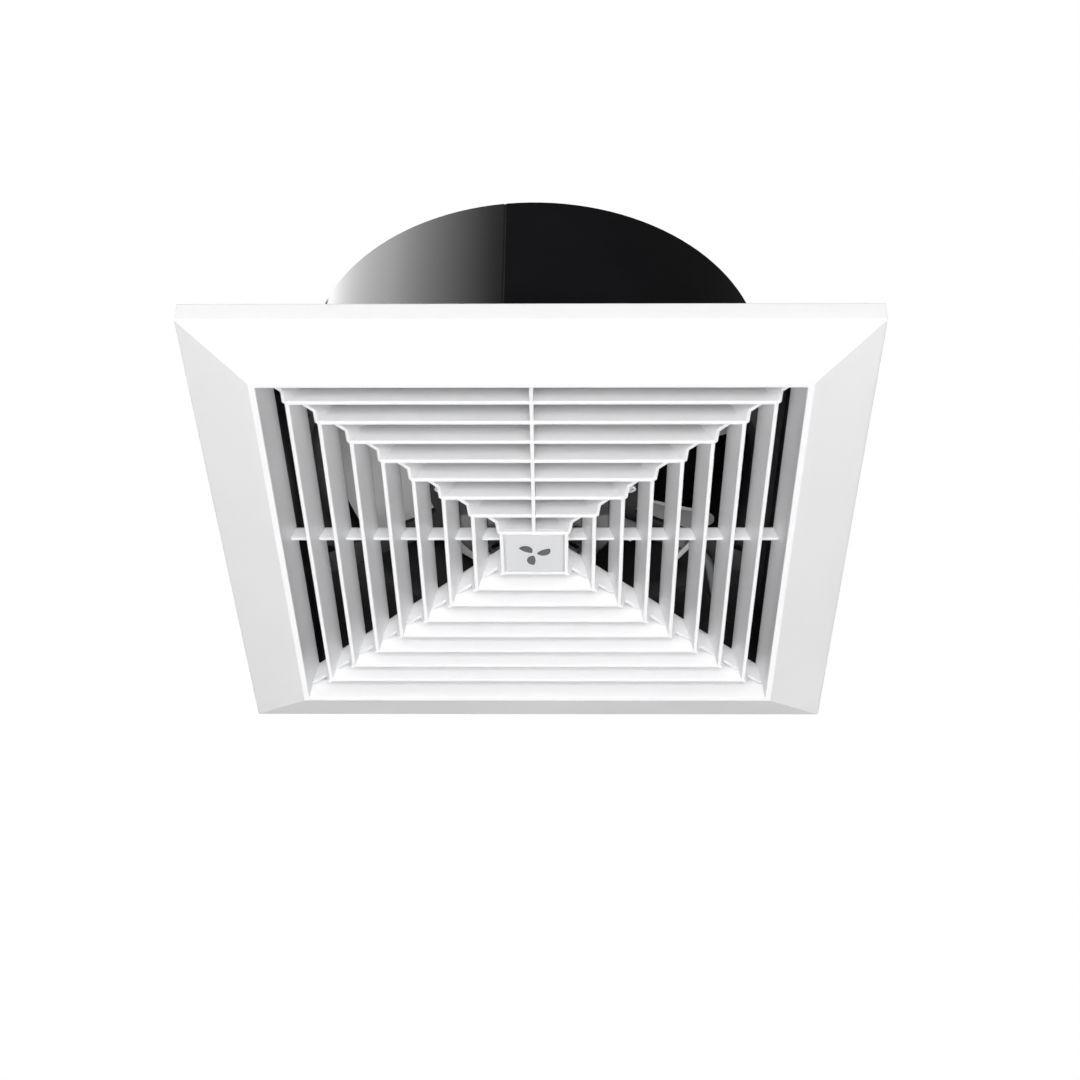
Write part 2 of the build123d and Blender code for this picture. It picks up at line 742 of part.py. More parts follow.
def make_motor_rear_bell():
    """Upper half of the motor can, with the shaft's way out and four mounting lugs."""
    cup = bell_cup(motor_bottom + motor_split, motor_top, False)
    across = (-lug_width / 2, lug_width / 2)
    lug_bottom = lug_top - lug_thickness
    lug = block((-(lug_screw_offset + motor_wall / 2), 0), across, (lug_bottom, lug_top))
    lug += disc(lug_width / 2, lug_bottom, lug_top)
    cup = cup.fuse(*at_polar(lug, lug_screw_circle, lug_angles))
    tools = vent_slots(motor_top - 1.1 * motor_wall, motor_top + 1)
    tools += bolt_holes(stator_mid, motor_top)
    tools.append(disc(shaft_radius + shaft_hole_clearance, motor_bottom, motor_top + 1))
    tools += at_polar(disc(screw_hole, lug_bottom - 1, lug_top + 1), lug_screw_circle, lug_angles)
    lead_way = Rot(0, 90, 0) * Cylinder(lead_radius + lead_hole_clearance, 6 * motor_wall)
    tools.append(Rot(0, 0, casing_screw_angle) * (Pos(motor_radius, 0, lead_z) * lead_way))
    return cut_all(cup, tools)


def slot_cutters(low, high):
    """Winding slots of the stator: a mouth at the bore and a wider pocket behind it."""
    across = (-slot_width / 2, slot_width / 2)
    pocket = block((winding_inner_radius + 1, winding_outer_radius), across, (low, high))
    across = (-slot_mouth / 2, slot_mouth / 2)
    mouth = block((stator_bore / 2 - 1, winding_inner_radius + 2), across, (low, high))
    step = 360 / stator_slots
    return [Rot(0, 0, step * (index + 0.5)) * (pocket + mouth) for index in range(stator_slots)]


def make_stator_core():
    """Laminated stack with winding slots round the bore."""
    core = tube(stator_radius, stator_bore / 2, stator_bottom, stator_top)
    tools = slot_cutters(stator_bottom - 1, stator_top + 1)
    tools += bolt_holes(stator_bottom, stator_top)
    return cut_all(core, tools)


def make_stator_windings():
    """Copper in the slots, joined by the end turns above and below the stack."""
    step = 360 / stator_slots
    half = slot_width / 2 - slot_liner
    bar = block((winding_inner_radius + 1 + slot_liner, winding_outer_radius - slot_liner), (-half, half),
                (stator_bottom - winding_overhang / 2, stator_top + winding_overhang / 2))
    bars = [Rot(0, 0, step * (index + 0.5)) * bar for index in range(stator_slots)]
    ends = []
    for low in (stator_bottom - winding_overhang, stator_top):
        ring = tube(winding_outer_radius, winding_inner_radius, low, low + winding_overhang)
        ends.append(fillet(ring.edges().filter_by(GeomType.CIRCLE), winding_edge))
    return ends[0].fuse(ends[1], *bars)


def make_through_bolts():
    """Long bolts that clamp the two bells on the stack."""
    length = motor_height + through_bolt_gap
    screw = pan_screw(screw_diameter, screw_head_diameter, screw_head_height, length)
    screw = Pos(0, 0, motor_bottom) * (Rot(180, 0, 0) * screw)
    return Compound(at_polar(screw, bolt_circle, bolt_angles))


def make_bearing(low):
    """Ball bearing with shield grooves and a running bore for the shaft."""
    bore = shaft_radius + shaft_running_clearance
    body = tube(bearing_radius, bore, low, low + bearing_width)
    groove = tube(bearing_radius - shield_inset, bore + shield_inset, low, low + shield_depth)
    return body - groove - Pos(0, 0, bearing_width - shield_depth) * groove


def make_motor_shaft():
    """Stepless shaft from the front bearing to the impeller's nut, cross-drilled for the drive pin."""
    low = motor_bottom + bearing_cover + shaft_chamfer
    body = disc(shaft_radius, low, hub_top + shaft_end)
    body = chamfer(body.edges().filter_by(GeomType.CIRCLE), shaft_chamfer)
    hole = Rot(0, 90, 0) * Cylinder(drive_pin_diameter / 2, 2 * shaft_diameter)
    return body - Pos(0, 0, pin_z) * hole


def make_rotor_core():
    """Squirrel-cage rotor with cast end rings."""
    outer = stator_bore / 2 - air_gap
    body = disc(outer, stator_bottom, stator_top)
    for low in (stator_bottom - rotor_ring_height, stator_top):
        body += tube(outer - rotor_ring_step, rotor_ring_inner_radius, low, low + rotor_ring_height)
    return body - disc(shaft_radius, stator_bottom - 1, stator_top + 1)


def blade_angles(share):
    """Leading and trailing edge angles of a blade, a share of the way from its root to its tip."""
    middle = blade_root_turn - blade_sweep * share
    half_spread = (blade_root_spread + (blade_tip_spread - blade_root_spread) * share) / 2
    return middle - half_spread, middle + half_spread


def blade_station(distance):
    """Cambered strip section of a blade, in the plane that far from the axis."""
    share = (distance - blade_root) / (impeller_radius - blade_root)
    lead, trail = blade_angles(share)
    start = distance * math.tan(math.radians(lead))
    finish = distance * math.tan(math.radians(trail))
    slope = (blade_height - blade_thickness) / (finish - start)
    extra = blade_overrun * (finish - start)
    low_y = start - extra
    high_y = finish + extra
    low_z = blade_bottom - slope * extra
    high_z = low_z + slope * (high_y - low_y)
    sag = blade_camber * (blade_root_camber + (1 - blade_root_camber) * share)
    middle = ((low_y + high_y) / 2, (low_z + high_z) / 2 - sag)
    points = [(low_y, low_z), middle, (high_y, high_z)]
    under = ThreePointArc(*[(distance, y, z) for y, z in points])
    over = ThreePointArc(*[(distance, y, z + blade_thickness) for y, z in reversed(points)])
    ends = [Line(under @ 1, over @ 0), Line(over @ 1, under @ 0)]
    return Face(Wire([under, ends[0], over, ends[1]]))


def make_blade():
    """Twisted paddle, cut to its outline seen along the axis."""
    length = impeller_radius - blade_root
    shares = (-0.05, 0.3, 0.65, 1.04)
    solid = loft([blade_station(blade_root + share * length) for share in shares])
    lead_edge = [polar(blade_root + share * length, blade_angles(share)[0]) for share in (0, 0.5, 1)]
    trail_edge = [polar(blade_root + share * length, blade_angles(share)[1]) for share in (1, 0.5, 0)]
    tip_middle = polar(impeller_radius, sum(blade_angles(1)) / 2)
    outline = make_face([
        ThreePointArc(*lead_edge),
        ThreePointArc(lead_edge[2], tip_middle, trail_edge[0]),
        ThreePointArc(*trail_edge),
        Line(trail_edge[2], lead_edge[0]),
    ])
    far = [v for v in outline.vertices() if math.hypot(v.X, v.Y) > impeller_radius - 1]
    outline = fillet(far, blade_tip_round)
    return solid & (Pos(0, 0, hub_bottom - hub_height) * extrude(outline, amount=3 * hub_height))


def make_impeller():
    """White impeller: cup-shaped hub, centre boss and twisted blades."""
    hub = disc(hub_radius, hub_bottom, hub_top)
    top_edge = hub.edges().filter_by(GeomType.CIRCLE).sort_by(Axis.Z)[-1]
    hub = fillet(top_edge, hub_edge_radius)
    hub -= disc(hub_radius - hub_wall, hub_bottom, hub_top - hub_wall)
    hub += disc(hub_boss_diameter / 2, pin_z, hub_top - hub_wall / 2)
    rib = block((hub_boss_diameter / 2 - 1, hub_radius - hub_wall / 2),
                (-hub_rib_thickness / 2, hub_rib_thickness / 2),
                (pin_z + hub_rib_rise, hub_top - hub_rib_gap))
    rib_step = 360 / hub_rib_count
    ribs = [Rot(0, 0, rib_step * index) * rib for index in range(hub_rib_count)]
    blade_step = 360 / impeller_blades
    blade = make_blade() - disc(hub_radius - hub_wall / 4, hub_bottom - hub_height, hub_top + hub_height)
    blades = [Rot(0, 0, blade_step * index) * blade for index in range(impeller_blades)]
    body = hub.fuse(*ribs, *blades)
    pin_slot = Box(drive_pin_length + pin_slot_play, drive_pin_diameter, drive_pin_diameter)
    body -= disc(shaft_radius, hub_bottom, hub_top + 1)
    body = Rot(0, 0, impeller_rest_angle) * body
    return body - Pos(0, 0, pin_z) * pin_slot


def make_drive_pin():
    """Cross pin that carries the shaft's torque into the hub."""
    return Pos(0, 0, pin_z) * (Rot(0, 90, 0) * Cylinder(drive_pin_diameter / 2, drive_pin_length))


def make_impeller_nut():
    """Washer-faced nut that holds the impeller on its shaft."""
    washer = disc(washer_diameter / 2, hub_top, hub_top + washer_thickness)
    outline = RegularPolygon(impeller_nut_flats / 2, 6, major_radius=False)
    body = washer + Pos(0, 0, hub_top + washer_thickness) * extrude(outline, amount=nut_grip)
    return body - disc(shaft_radius, hub_top - 1, hub_top + shaft_end + 1)


# --- Backdraft damper ---
def make_damper_seat():
    """Ledge ring inside the outlet that the closed flaps rest on, with two lugs for the axle."""
    ledge_inner = drum_bore - seat_ledge
    body = tube(drum_bore, ledge_inner, seat_top - seat_thickness, seat_top)
    skirt_low = seat_top - seat_thickness - seat_skirt
    body += tube(drum_bore, drum_bore - seat_thickness, skirt_low, seat_top)
    full = disc(drum_bore, seat_top - 1, drum_top)
    across = (-axle_lug_half_width, axle_lug_half_width)
    lug_heights = (seat_top - 1, axle_z + axle_lug_half_width - 1)
    for side in (-1, 1):
        span = sorted((side * (drum_bore - axle_lug_length), side * (drum_bore + 1)))
        body += block(across, span, lug_heights) & full
    hole = Pos(0, 0, axle_z) * (Rot(90, 0, 0) * Cylinder(axle_diameter / 2 + axle_fit, 3 * drum_radius))
    return body - hole


def make_damper_axle():
    """Straight rod across the outlet that both flaps turn on."""
    length = 2 * (drum_bore - axle_end_gap)
    return Pos(0, 0, axle_z) * (Rot(90, 0, 0) * Cylinder(axle_diameter / 2, length))


def make_flap(side):
    """Half-round flap with its share of the knuckles on the axle. side is -1 or 1 along X."""
    radius = drum_bore - flap_edge_gap
    through = (flap_bottom - 1, flap_top + 1)
    keep = block(sorted((side * flap_root, side * 2 * radius)), (-2 * radius, 2 * radius), through)
    body = disc(radius, flap_bottom, flap_top) & keep
    notch = sorted((0, side * (axle_lug_half_width + axle_lug_gap)))
    reach = drum_bore - axle_lug_length - knuckle_gap
    for span in ((reach, 2 * radius), (-2 * radius, -reach)):
        body -= block(notch, span, through)
    reach = drum_bore - seat_ledge - knuckle_gap
    pitch = 2 * reach / knuckle_count
    own = 0 if side < 0 else 1
    bore_radius = axle_diameter / 2 + knuckle_clearance
    for index in range(knuckle_count):
        low = -reach + index * pitch + knuckle_gap / 2
        high = low + pitch - knuckle_gap
        if index % 2 != own:
            span = (low - knuckle_gap, high + knuckle_gap)
            body -= block(sorted((0, side * flap_notch)), span, through)
            continue
        place = Pos(0, (low + high) / 2, axle_z) * Rot(90, 0, 0)
        body += place * Cylinder(knuckle_diameter / 2, high - low)
        body -= place * Cylinder(bore_radius, high - low + knuckle_gap / 2)
    rib_y = flap_rib_offset * radius
    rib_end = math.sqrt(radius ** 2 - rib_y ** 2) - flap_rib_inset
    half = flap_rib_thickness / 2
    for y in (-rib_y, rib_y):
        body += block(sorted((side * flap_rib_inset, side * rib_end)), (y - half, y + half),
                      (flap_top - half / 4, flap_top + flap_rib_height))
    return body


# --- Wiring box and motor lead ---
def corner_cutter(cut, low, high):
    """Prism that takes the inner corner off the wiring box."""
    near = wiring_low
    out = near - 1
    points = [(out, out), (near + cut, out), (near + cut, near), (near, near + cut), (out, near + cut)]
    return Pos(0, 0, low) * extrude(make_face(Polyline(*points, close=True)), amount=high - low)


def wiring_posts():
    """Places of the two posts that take the cover's screws."""
    inset = wiring_wall + wiring_post_diameter / 2 - wiring_post_sink
    return [(wiring_low + inset, wiring_high - inset), (wiring_high - inset, wiring_low + inset)]


def make_wiring_box():
    """Tray for the mains connection, screwed down beside the drum."""
    span = (wiring_low, wiring_high)
    body = block(span, span, (base_top, wiring_top))
    inside = (wiring_low + wiring_wall, wiring_high - wiring_wall)
    cavity = block(inside, inside, (wiring_floor, wiring_top + 1))
    cavity -= corner_cutter(wiring_corner_cut + 2 * wiring_wall, wiring_floor - 1, wiring_top + 2)
    post_low = wiring_top - wiring_post_height
    posts = [disc(wiring_post_diameter / 2, post_low, wiring_top, x, y) for x, y in wiring_posts()]
    cavity = cavity.cut(*posts)
    tools = [cavity, corner_cutter(wiring_corner_cut, base_top - 1, wiring_top + 1)]
    tools += [disc(cover_screw_diameter / 2, wiring_top - cover_screw_grip - 1, wiring_top + 1, x, y)
              for x, y in wiring_posts()]
    tools.append(disc(lead_radius + lead_hole_clearance + grommet_wall, base_top - 1, wiring_floor + 1,
                      lead_corner, lead_corner))
    hole = Rot(0, 90, 0) * Cylinder(gland_thread_diameter / 2 + gland_hole_play, 3 * wiring_wall)
    tools.append(gland_place * hole)
    return cut_all(body, tools)


def make_wiring_cover():
    """Flat lid of the wiring box."""
    span = (wiring_low, wiring_high)
    body = block(span, span, (wiring_top, wiring_top + wiring_cover_thickness))
    past = wiring_top + wiring_cover_thickness + 1
    hole = (cover_screw_diameter + screw_hole_clearance) / 2
    tools = [corner_cutter(wiring_corner_cut, wiring_top - 1, past)]
    tools += [disc(hole, wiring_top - 1, past, x, y) for x, y in wiring_posts()]
    return cut_all(body, tools)


def make_cover_screws():
    top = wiring_top + wiring_cover_thickness
    screw = pan_screw(cover_screw_diameter, cover_screw_head_diameter, cover_screw_head_height,
                      cover_screw_grip + wiring_cover_thickness)
    return Compound([Pos(x, y, top) * screw for x, y in wiring_posts()])


def make_cable_gland():
    """Strain-relief gland for the mains cable, pointing along the box's side."""
    bore = gland_bore_diameter / 2
    thread = gland_thread_diameter / 2
    inside = -wiring_wall - gland_thread_inside
    cap = gland_cap_diameter / 2
    end = gland_nut_length + gland_cap_length
    profile = [
        (bore, inside),
        (thread, inside),
        (thread, 0),
        (gland_nut_diameter / 2, 0),
        (gland_nut_diameter / 2, gland_nut_length),
        (cap, gland_nut_length),
        (cap, end - gland_cap_taper_height),
        (cap - gland_cap_taper, end),
        (bore, end),
    ]
    return gland_place * (Rot(0, -90, 0) * revolved(profile))


def make_gland_locknut():
    """Nut inside the wiring box that holds the gland."""
    outline = RegularPolygon(gland_nut_diameter / 2 - locknut_inset, 6, major_radius=False)
    body = extrude(outline, amount=locknut_thickness)
    body -= disc(gland_thread_diameter / 2, -1, locknut_thickness + 1)
    return gland_place * Pos(wiring_wall, 0, 0) * (Rot(0, 90, 0) * body)


def make_capacitor():
    """Run capacitor, a sealed block with rounded edges."""
    x_size, y_size, z_size = capacitor_size
    high = wiring_high - wiring_wall - content_gap
    body = block((high - x_size, high), (high - y_size, high), (wiring_floor, wiring_floor + z_size))
    return fillet(body.edges().filter_by(Axis.Z), capacitor_edge_radius)


def make_terminal_block():
    """Screw terminal block on the wiring box's floor, under the gland."""
    x_size, y_size, z_size = block_size
    low_x = wiring_low + wiring_wall + locknut_thickness + content_gap
    high_y = wiring_high - wiring_wall - content_gap
    top = wiring_floor + z_size
    body = block((low_x, low_x + x_size), (high_y - y_size, high_y), (wiring_floor, top))
    pitch = x_size / block_ways
    entry = Rot(90, 0, 0) * Cylinder(block_entry_radius, 2 * block_entry_depth)
    tools = []
    for way in range(block_ways):
        x = low_x + pitch * (way + 0.5)
        tools.append(disc(block_screw_radius, top - block_screw_depth, top + 1, x,
                          high_y - block_screw_row * y_size))
        tools.append(Pos(x, high_y, wiring_floor + block_entry_height) * entry)
    return cut_all(body, tools)


def make_motor_lead():
    """Lead from the motor along a bracket arm, then up into the wiring box."""
    start = polar(motor_radius - motor_wall, casing_screw_angle)
    turn = polar(motor_radius + lead_turn * (drum_radius - motor_radius), casing_screw_angle)
    level = wiring_floor + lead_height
    end_y = wiring_high - wiring_wall - content_gap - block_size[1]
    points = [(*start, lead_z), (*turn, lead_z), (lead_corner, lead_corner, lead_z),
              (lead_corner, lead_corner, level), (lead_corner, end_y, level)]
    last_radius = min(lead_bend_radius, 0.9 * (end_y - lead_corner))
    path = FilletPolyline(*points, radius=[lead_sweep_radius, lead_bend_radius, last_radius])
    section = Plane(origin=path @ 0, z_dir=path % 0) * Circle(lead_radius)
    return sweep(section, path=path)


def make_lead_ties():
    """Two ties that hold the lead under the bracket arm."""
    half = bracket_arm_width / 2
    low = bracket_bottom - lead_diameter
    outer = half + lead_tie_thickness
    heights = (low - lead_tie_thickness, bracket_top + lead_tie_thickness)
    loop = block((-lead_tie_width / 2, lead_tie_width / 2), (-outer, outer), heights)
    loop -= block((-lead_tie_width, lead_tie_width), (-half, half), (low, bracket_top))
    first = motor_radius + bracket_ring_clearance + bracket_ring_width + 2 * lead_tie_width
    last = motor_radius + lead_turn * (drum_radius - motor_radius) - lead_sweep_radius / 2
    ties = [Pos(radius, 0, 0) * loop for radius in (first, last)]
    return Compound([Rot(0, 0, casing_screw_angle) * tie for tie in ties])


def make_lead_grommet():
    """Rubber sleeve where the lead passes the base plate and the wiring box floor."""
    inner = lead_radius
    outer = lead_radius + lead_hole_clearance + grommet_wall
    lip = outer + grommet_lip
    x = y = lead_corner
    body = tube(outer, inner, plate_bottom - grommet_lip, wiring_floor + grommet_lip, x, y)
    body += tube(lip, inner, plate_bottom - grommet_lip, plate_bottom, x, y)
    return body + tube(lip, inner, wiring_floor, wiring_floor + grommet_lip, x, y)


def main():
    """Writes one STEP file for each sub-part."""
    parts = {
        "panel_frame": make_panel_frame(),
        "louvre_grille": make_louvre_grille(),
        "badge_plate": make_badge_plate(),
        "badge_mark": make_badge_mark(),
        "panel_pegs": make_panel_pegs(),
        "base_frame": make_base_frame(),
        "inlet_shroud": make_inlet_shroud(),
        "drum_casing": make_drum_casing(),
        "seam_strip": make_seam_strip(),
        "casing_screws": make_casing_screws(),
        "casing_nuts": make_casing_nuts(),
        "motor_bracket": make_motor_bracket(),
        "motor_grommets": make_motor_grommets(),
        "motor_mount_screws": make_motor_mount_screws(),
        "motor_mount_nuts": make_motor_mount_nuts(),
        "motor_front_bell": make_motor_front_bell(),
        "motor_rear_bell": make_motor_rear_bell(),
        "stator_core": make_stator_core(),
        "stator_windings": make_stator_windings(),
        "motor_through_bolts": make_through_bolts(),
        "front_bearing": make_bearing(motor_bottom + bearing_cover),
        "rear_bearing": make_bearing(motor_top - bearing_cover - bearing_width),
        "motor_shaft": make_motor_shaft(),
        "rotor_core": make_rotor_core(),
        "impeller": make_impeller(),
        "drive_pin": make_drive_pin(),
        "impeller_nut": make_impeller_nut(),
        "damper_seat": make_damper_seat(),
        "damper_axle": make_damper_axle(),
        "damper_flap_left": make_flap(-1),
        "damper_flap_right": make_flap(1),
        "wiring_box": make_wiring_box(),
        "wiring_cover": make_wiring_cover(),
        "wiring_cover_screws": make_cover_screws(),
        "cable_gland": make_cable_gland(),
        "gland_locknut": make_gland_locknut(),
        "run_capacitor": make_capacitor(),
        "terminal_block": make_terminal_block(),
        "motor_lead": make_motor_lead(),
        "lead_ties": make_lead_ties(),
        "lead_grommet": make_lead_grommet(),
    }
    os.makedirs("parts", exist_ok=True)
    for name, shape in parts.items():
        export_step(shape, f"parts/{name}.step")


if __name__ == "__main__":
    main()
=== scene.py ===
import math

import bpy
import numpy as np
from bpy.props import FloatProperty, FloatVectorProperty, PointerProperty
from mathutils import Matrix, Vector


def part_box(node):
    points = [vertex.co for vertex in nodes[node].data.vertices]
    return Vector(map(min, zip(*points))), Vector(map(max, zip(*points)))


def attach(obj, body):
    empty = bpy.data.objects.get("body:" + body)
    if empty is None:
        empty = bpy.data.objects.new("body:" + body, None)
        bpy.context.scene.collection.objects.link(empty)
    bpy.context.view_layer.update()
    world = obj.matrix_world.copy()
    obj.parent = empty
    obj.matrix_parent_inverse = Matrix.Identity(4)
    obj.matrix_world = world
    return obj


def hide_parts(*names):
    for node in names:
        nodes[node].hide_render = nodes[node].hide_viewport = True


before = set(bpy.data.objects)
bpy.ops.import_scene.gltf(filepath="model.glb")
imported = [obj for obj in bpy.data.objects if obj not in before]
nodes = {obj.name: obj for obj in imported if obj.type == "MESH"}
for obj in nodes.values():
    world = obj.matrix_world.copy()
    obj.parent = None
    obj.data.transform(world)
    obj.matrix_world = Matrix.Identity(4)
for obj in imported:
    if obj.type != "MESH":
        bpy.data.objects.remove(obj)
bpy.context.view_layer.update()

bl_info = {
    "name": "Ceiling Extractor Fan",
    "version": (1, 0, 0),
    "blender": (4, 5, 0),
    "location": "View3D > Sidebar > Fan",
    "description": "Finishes, small fittings and a studio stage for a ceiling extractor fan",
    "category": "Object",
}

MM = 0.001


# --- Building shader trees ---
def add(tree, kind, inputs=None, **settings):
    """Adds a node. An input's value is a number, a colour, or the output socket to link to it."""
    made = tree.nodes.new(kind)
    for name, value in settings.items():
        setattr(made, name, value)
    for key, value in (inputs or {}).items():
        if isinstance(value, bpy.types.NodeSocket):
            tree.links.new(value, made.inputs[key])
        else:
            made.inputs[key].default_value = value
    return made


def maths(tree, operation, first, second=0.0):
    """One step of arithmetic, as an output socket."""
    return add(tree, "ShaderNodeMath", {0: first, 1: second}, operation=operation).outputs[0]


def spread(tree, value, low, high, to_low=0.0, to_high=1.0):
    """Stretches the range low to high over to_low to to_high, as an output socket."""
    inputs = {"Value": value, "From Min": low, "From Max": high, "To Min": to_low, "To Max": to_high}
    return add(tree, "ShaderNodeMapRange", inputs).outputs["Result"]


def blend_colour(tree, share, first, second):
    """Mix of two colours, as an output socket."""
    made = add(tree, "ShaderNodeMix", data_type="RGBA")
    for socket, value in zip((made.inputs[0], made.inputs[6], made.inputs[7]), (share, first, second)):
        if isinstance(value, bpy.types.NodeSocket):
            tree.links.new(value, socket)
        else:
            socket.default_value = value
    return made.outputs[2]


def new_group(name, inputs, outputs):
    """Empty node group with named number inputs and named outputs."""
    group = bpy.data.node_groups.new(name, "ShaderNodeTree")
    for label, value in inputs.items():
        socket = group.interface.new_socket(label, in_out="INPUT", socket_type="NodeSocketFloat")
        socket.default_value = value
    for label, kind in outputs.items():
        group.interface.new_socket(label, in_out="OUTPUT", socket_type=kind)
    start = group.nodes.new("NodeGroupInput")
    end = group.nodes.new("NodeGroupOutput")
    return group, start.outputs, end


def object_point(tree):
    """Coordinates fixed to the piece, in metres."""
    return add(tree, "ShaderNodeTexCoord").outputs["Object"]


NUMBER = "NodeSocketFloat"
VECTOR = "NodeSocketVector"


def grain_group():
    """Fine height of a moulded or painted skin, and a slow drift of its tone."""
    group, given, end = new_group("skin_grain", {"Grain": 0.0004, "Drift": 0.03},
                                  {"Height": NUMBER, "Tone": NUMBER})
    point = object_point(group)
    fine = {"Vector": point, "Scale": maths(group, "DIVIDE", 1.0, given["Grain"]), "Detail": 2.0}
    slow = {"Vector": point, "Scale": maths(group, "DIVIDE", 1.0, given["Drift"]), "Detail": 4.0}
    height = add(group, "ShaderNodeTexNoise", fine).outputs["Fac"]
    tone = add(group, "ShaderNodeTexNoise", slow).outputs["Fac"]
    group.links.new(height, end.inputs["Height"])
    group.links.new(spread(group, tone, 0.32, 0.68), end.inputs["Tone"])
    return group


def edge_group():
    """Normal rounded over sharp edges, and a mask of those edges."""
    group, given, end = new_group("soft_edge", {"Radius": 0.0004}, {"Normal": VECTOR, "Edge": NUMBER})
    rounded = add(group, "ShaderNodeBevel", {"Radius": given["Radius"]}, samples=4).outputs["Normal"]
    flat = add(group, "ShaderNodeNewGeometry").outputs["Normal"]
    turn = add(group, "ShaderNodeVectorMath", {0: rounded, 1: flat}, operation="DOT_PRODUCT")
    group.links.new(rounded, end.inputs["Normal"])
    group.links.new(spread(group, turn.outputs["Value"], 0.99, 0.8), end.inputs["Edge"])
    return group


def dust_group():
    """Mask of the dust that settles on what faces up, patchy and thin."""
    group, given, end = new_group("settled_dust", {"Amount": 0.3, "Patch": 0.02}, {"Dust": NUMBER})
    flat = add(group, "ShaderNodeNewGeometry").outputs["Normal"]
    upward = add(group, "ShaderNodeSeparateXYZ", {0: flat}).outputs["Z"]
    patch = {"Vector": object_point(group), "Scale": maths(group, "DIVIDE", 1.0, given["Patch"]),
             "Detail": 6.0, "Roughness": 0.65}
    patchy = add(group, "ShaderNodeTexNoise", patch).outputs["Fac"]
    lying = maths(group, "MULTIPLY", spread(group, upward, 0.5, 1.0), spread(group, patchy, 0.35, 0.75))
    group.links.new(maths(group, "MULTIPLY", lying, given["Amount"]), end.inputs["Dust"])
    return group


def lathe_group():
    """Fine rings left by turning or grinding about an upright axis, with a tone that follows the rings."""
    group, given, end = new_group("turned_rings", {"Pitch": 0.0002}, {"Height": NUMBER, "Tone": NUMBER})
    parts = add(group, "ShaderNodeSeparateXYZ", {0: object_point(group)}).outputs
    across = add(group, "ShaderNodeCombineXYZ", {"X": parts["X"], "Y": parts["Y"]}).outputs[0]
    radius = add(group, "ShaderNodeVectorMath", {0: across}, operation="LENGTH").outputs["Value"]
    line = add(group, "ShaderNodeCombineXYZ", {"X": radius, "Y": parts["Z"]}).outputs[0]
    rings = {"Vector": line, "Scale": maths(group, "DIVIDE", 1.0, given["Pitch"]), "Detail": 1.0}
    height = add(group, "ShaderNodeTexNoise", rings).outputs["Fac"]
    group.links.new(height, end.inputs["Height"])
    group.links.new(spread(group, height, 0.3, 0.7), end.inputs["Tone"])
    return group


def layer_group():
    """Stacked sheets seen edge on: a groove at every pitch up the axis, and a tone for each sheet."""
    group, given, end = new_group("stacked_sheets", {"Pitch": 0.0005}, {"Height": NUMBER, "Tone": NUMBER})
    height = add(group, "ShaderNodeSeparateXYZ", {0: object_point(group)}).outputs["Z"]
    sheet = maths(group, "DIVIDE", height, given["Pitch"])
    wave = maths(group, "PINGPONG", sheet, 0.5)
    level = maths(group, "FLOOR", sheet)
    shade = add(group, "ShaderNodeTexWhiteNoise", {"W": level}, noise_dimensions="1D").outputs["Value"]
    group.links.new(spread(group, wave, 0.0, 0.12), end.inputs["Height"])
    group.links.new(shade, end.inputs["Tone"])
    return group


def strand_group():
    """Wires that run round an upright axis side by side: each strand's round back and its own tone."""
    group, given, end = new_group("wound_strands", {"Wire": 0.0006}, {"Height": NUMBER, "Tone": NUMBER})
    parts = add(group, "ShaderNodeSeparateXYZ", {0: object_point(group)}).outputs
    across = add(group, "ShaderNodeCombineXYZ", {"X": parts["X"], "Y": parts["Y"]}).outputs[0]
    radius = add(group, "ShaderNodeVectorMath", {0: across}, operation="LENGTH").outputs["Value"]
    line = add(group, "ShaderNodeCombineXYZ", {"X": radius, "Y": parts["Z"]}).outputs[0]
    cells = {"Vector": line, "Scale": maths(group, "DIVIDE", 1.0, given["Wire"])}
    strands = add(group, "ShaderNodeTexVoronoi", cells, voronoi_dimensions="2D")
    tone = add(group, "ShaderNodeSeparateColor", {0: strands.outputs["Color"]}).outputs[0]
    group.links.new(spread(group, strands.outputs["Distance"], 0.6, 0.0), end.inputs["Height"])
    group.links.new(tone, end.inputs["Tone"])
    return group


GROUP_MAKERS = {"skin_grain": grain_group, "soft_edge": edge_group, "settled_dust": dust_group,
                "turned_rings": lathe_group, "stacked_sheets": layer_group, "wound_strands": strand_group}


def place_group(tree, name, **values):
    """Puts a shared group in a material with its own values, and returns its outputs."""
    group = bpy.data.node_groups.get(name) or GROUP_MAKERS[name]()
    return add(tree, "ShaderNodeGroup", values, node_tree=group).outputs


def opaque(colour):
    """A colour of three numbers with a full alpha."""
    return (*colour[:3], 1.0)


def scaled(colour, factor):
    """A colour made lighter or darker."""
    return opaque([min(1.0, part * factor) for part in colour[:3]])


DUST = (0.46, 0.44, 0.41, 1.0)
DUST_ROUGHNESS = 0.9
EDGE_WEAR_AND_HIGHLIGHT_SHARE = 0.6                # how far an edge takes its lifted colour, as rubbed wear and as a painted edge highlight
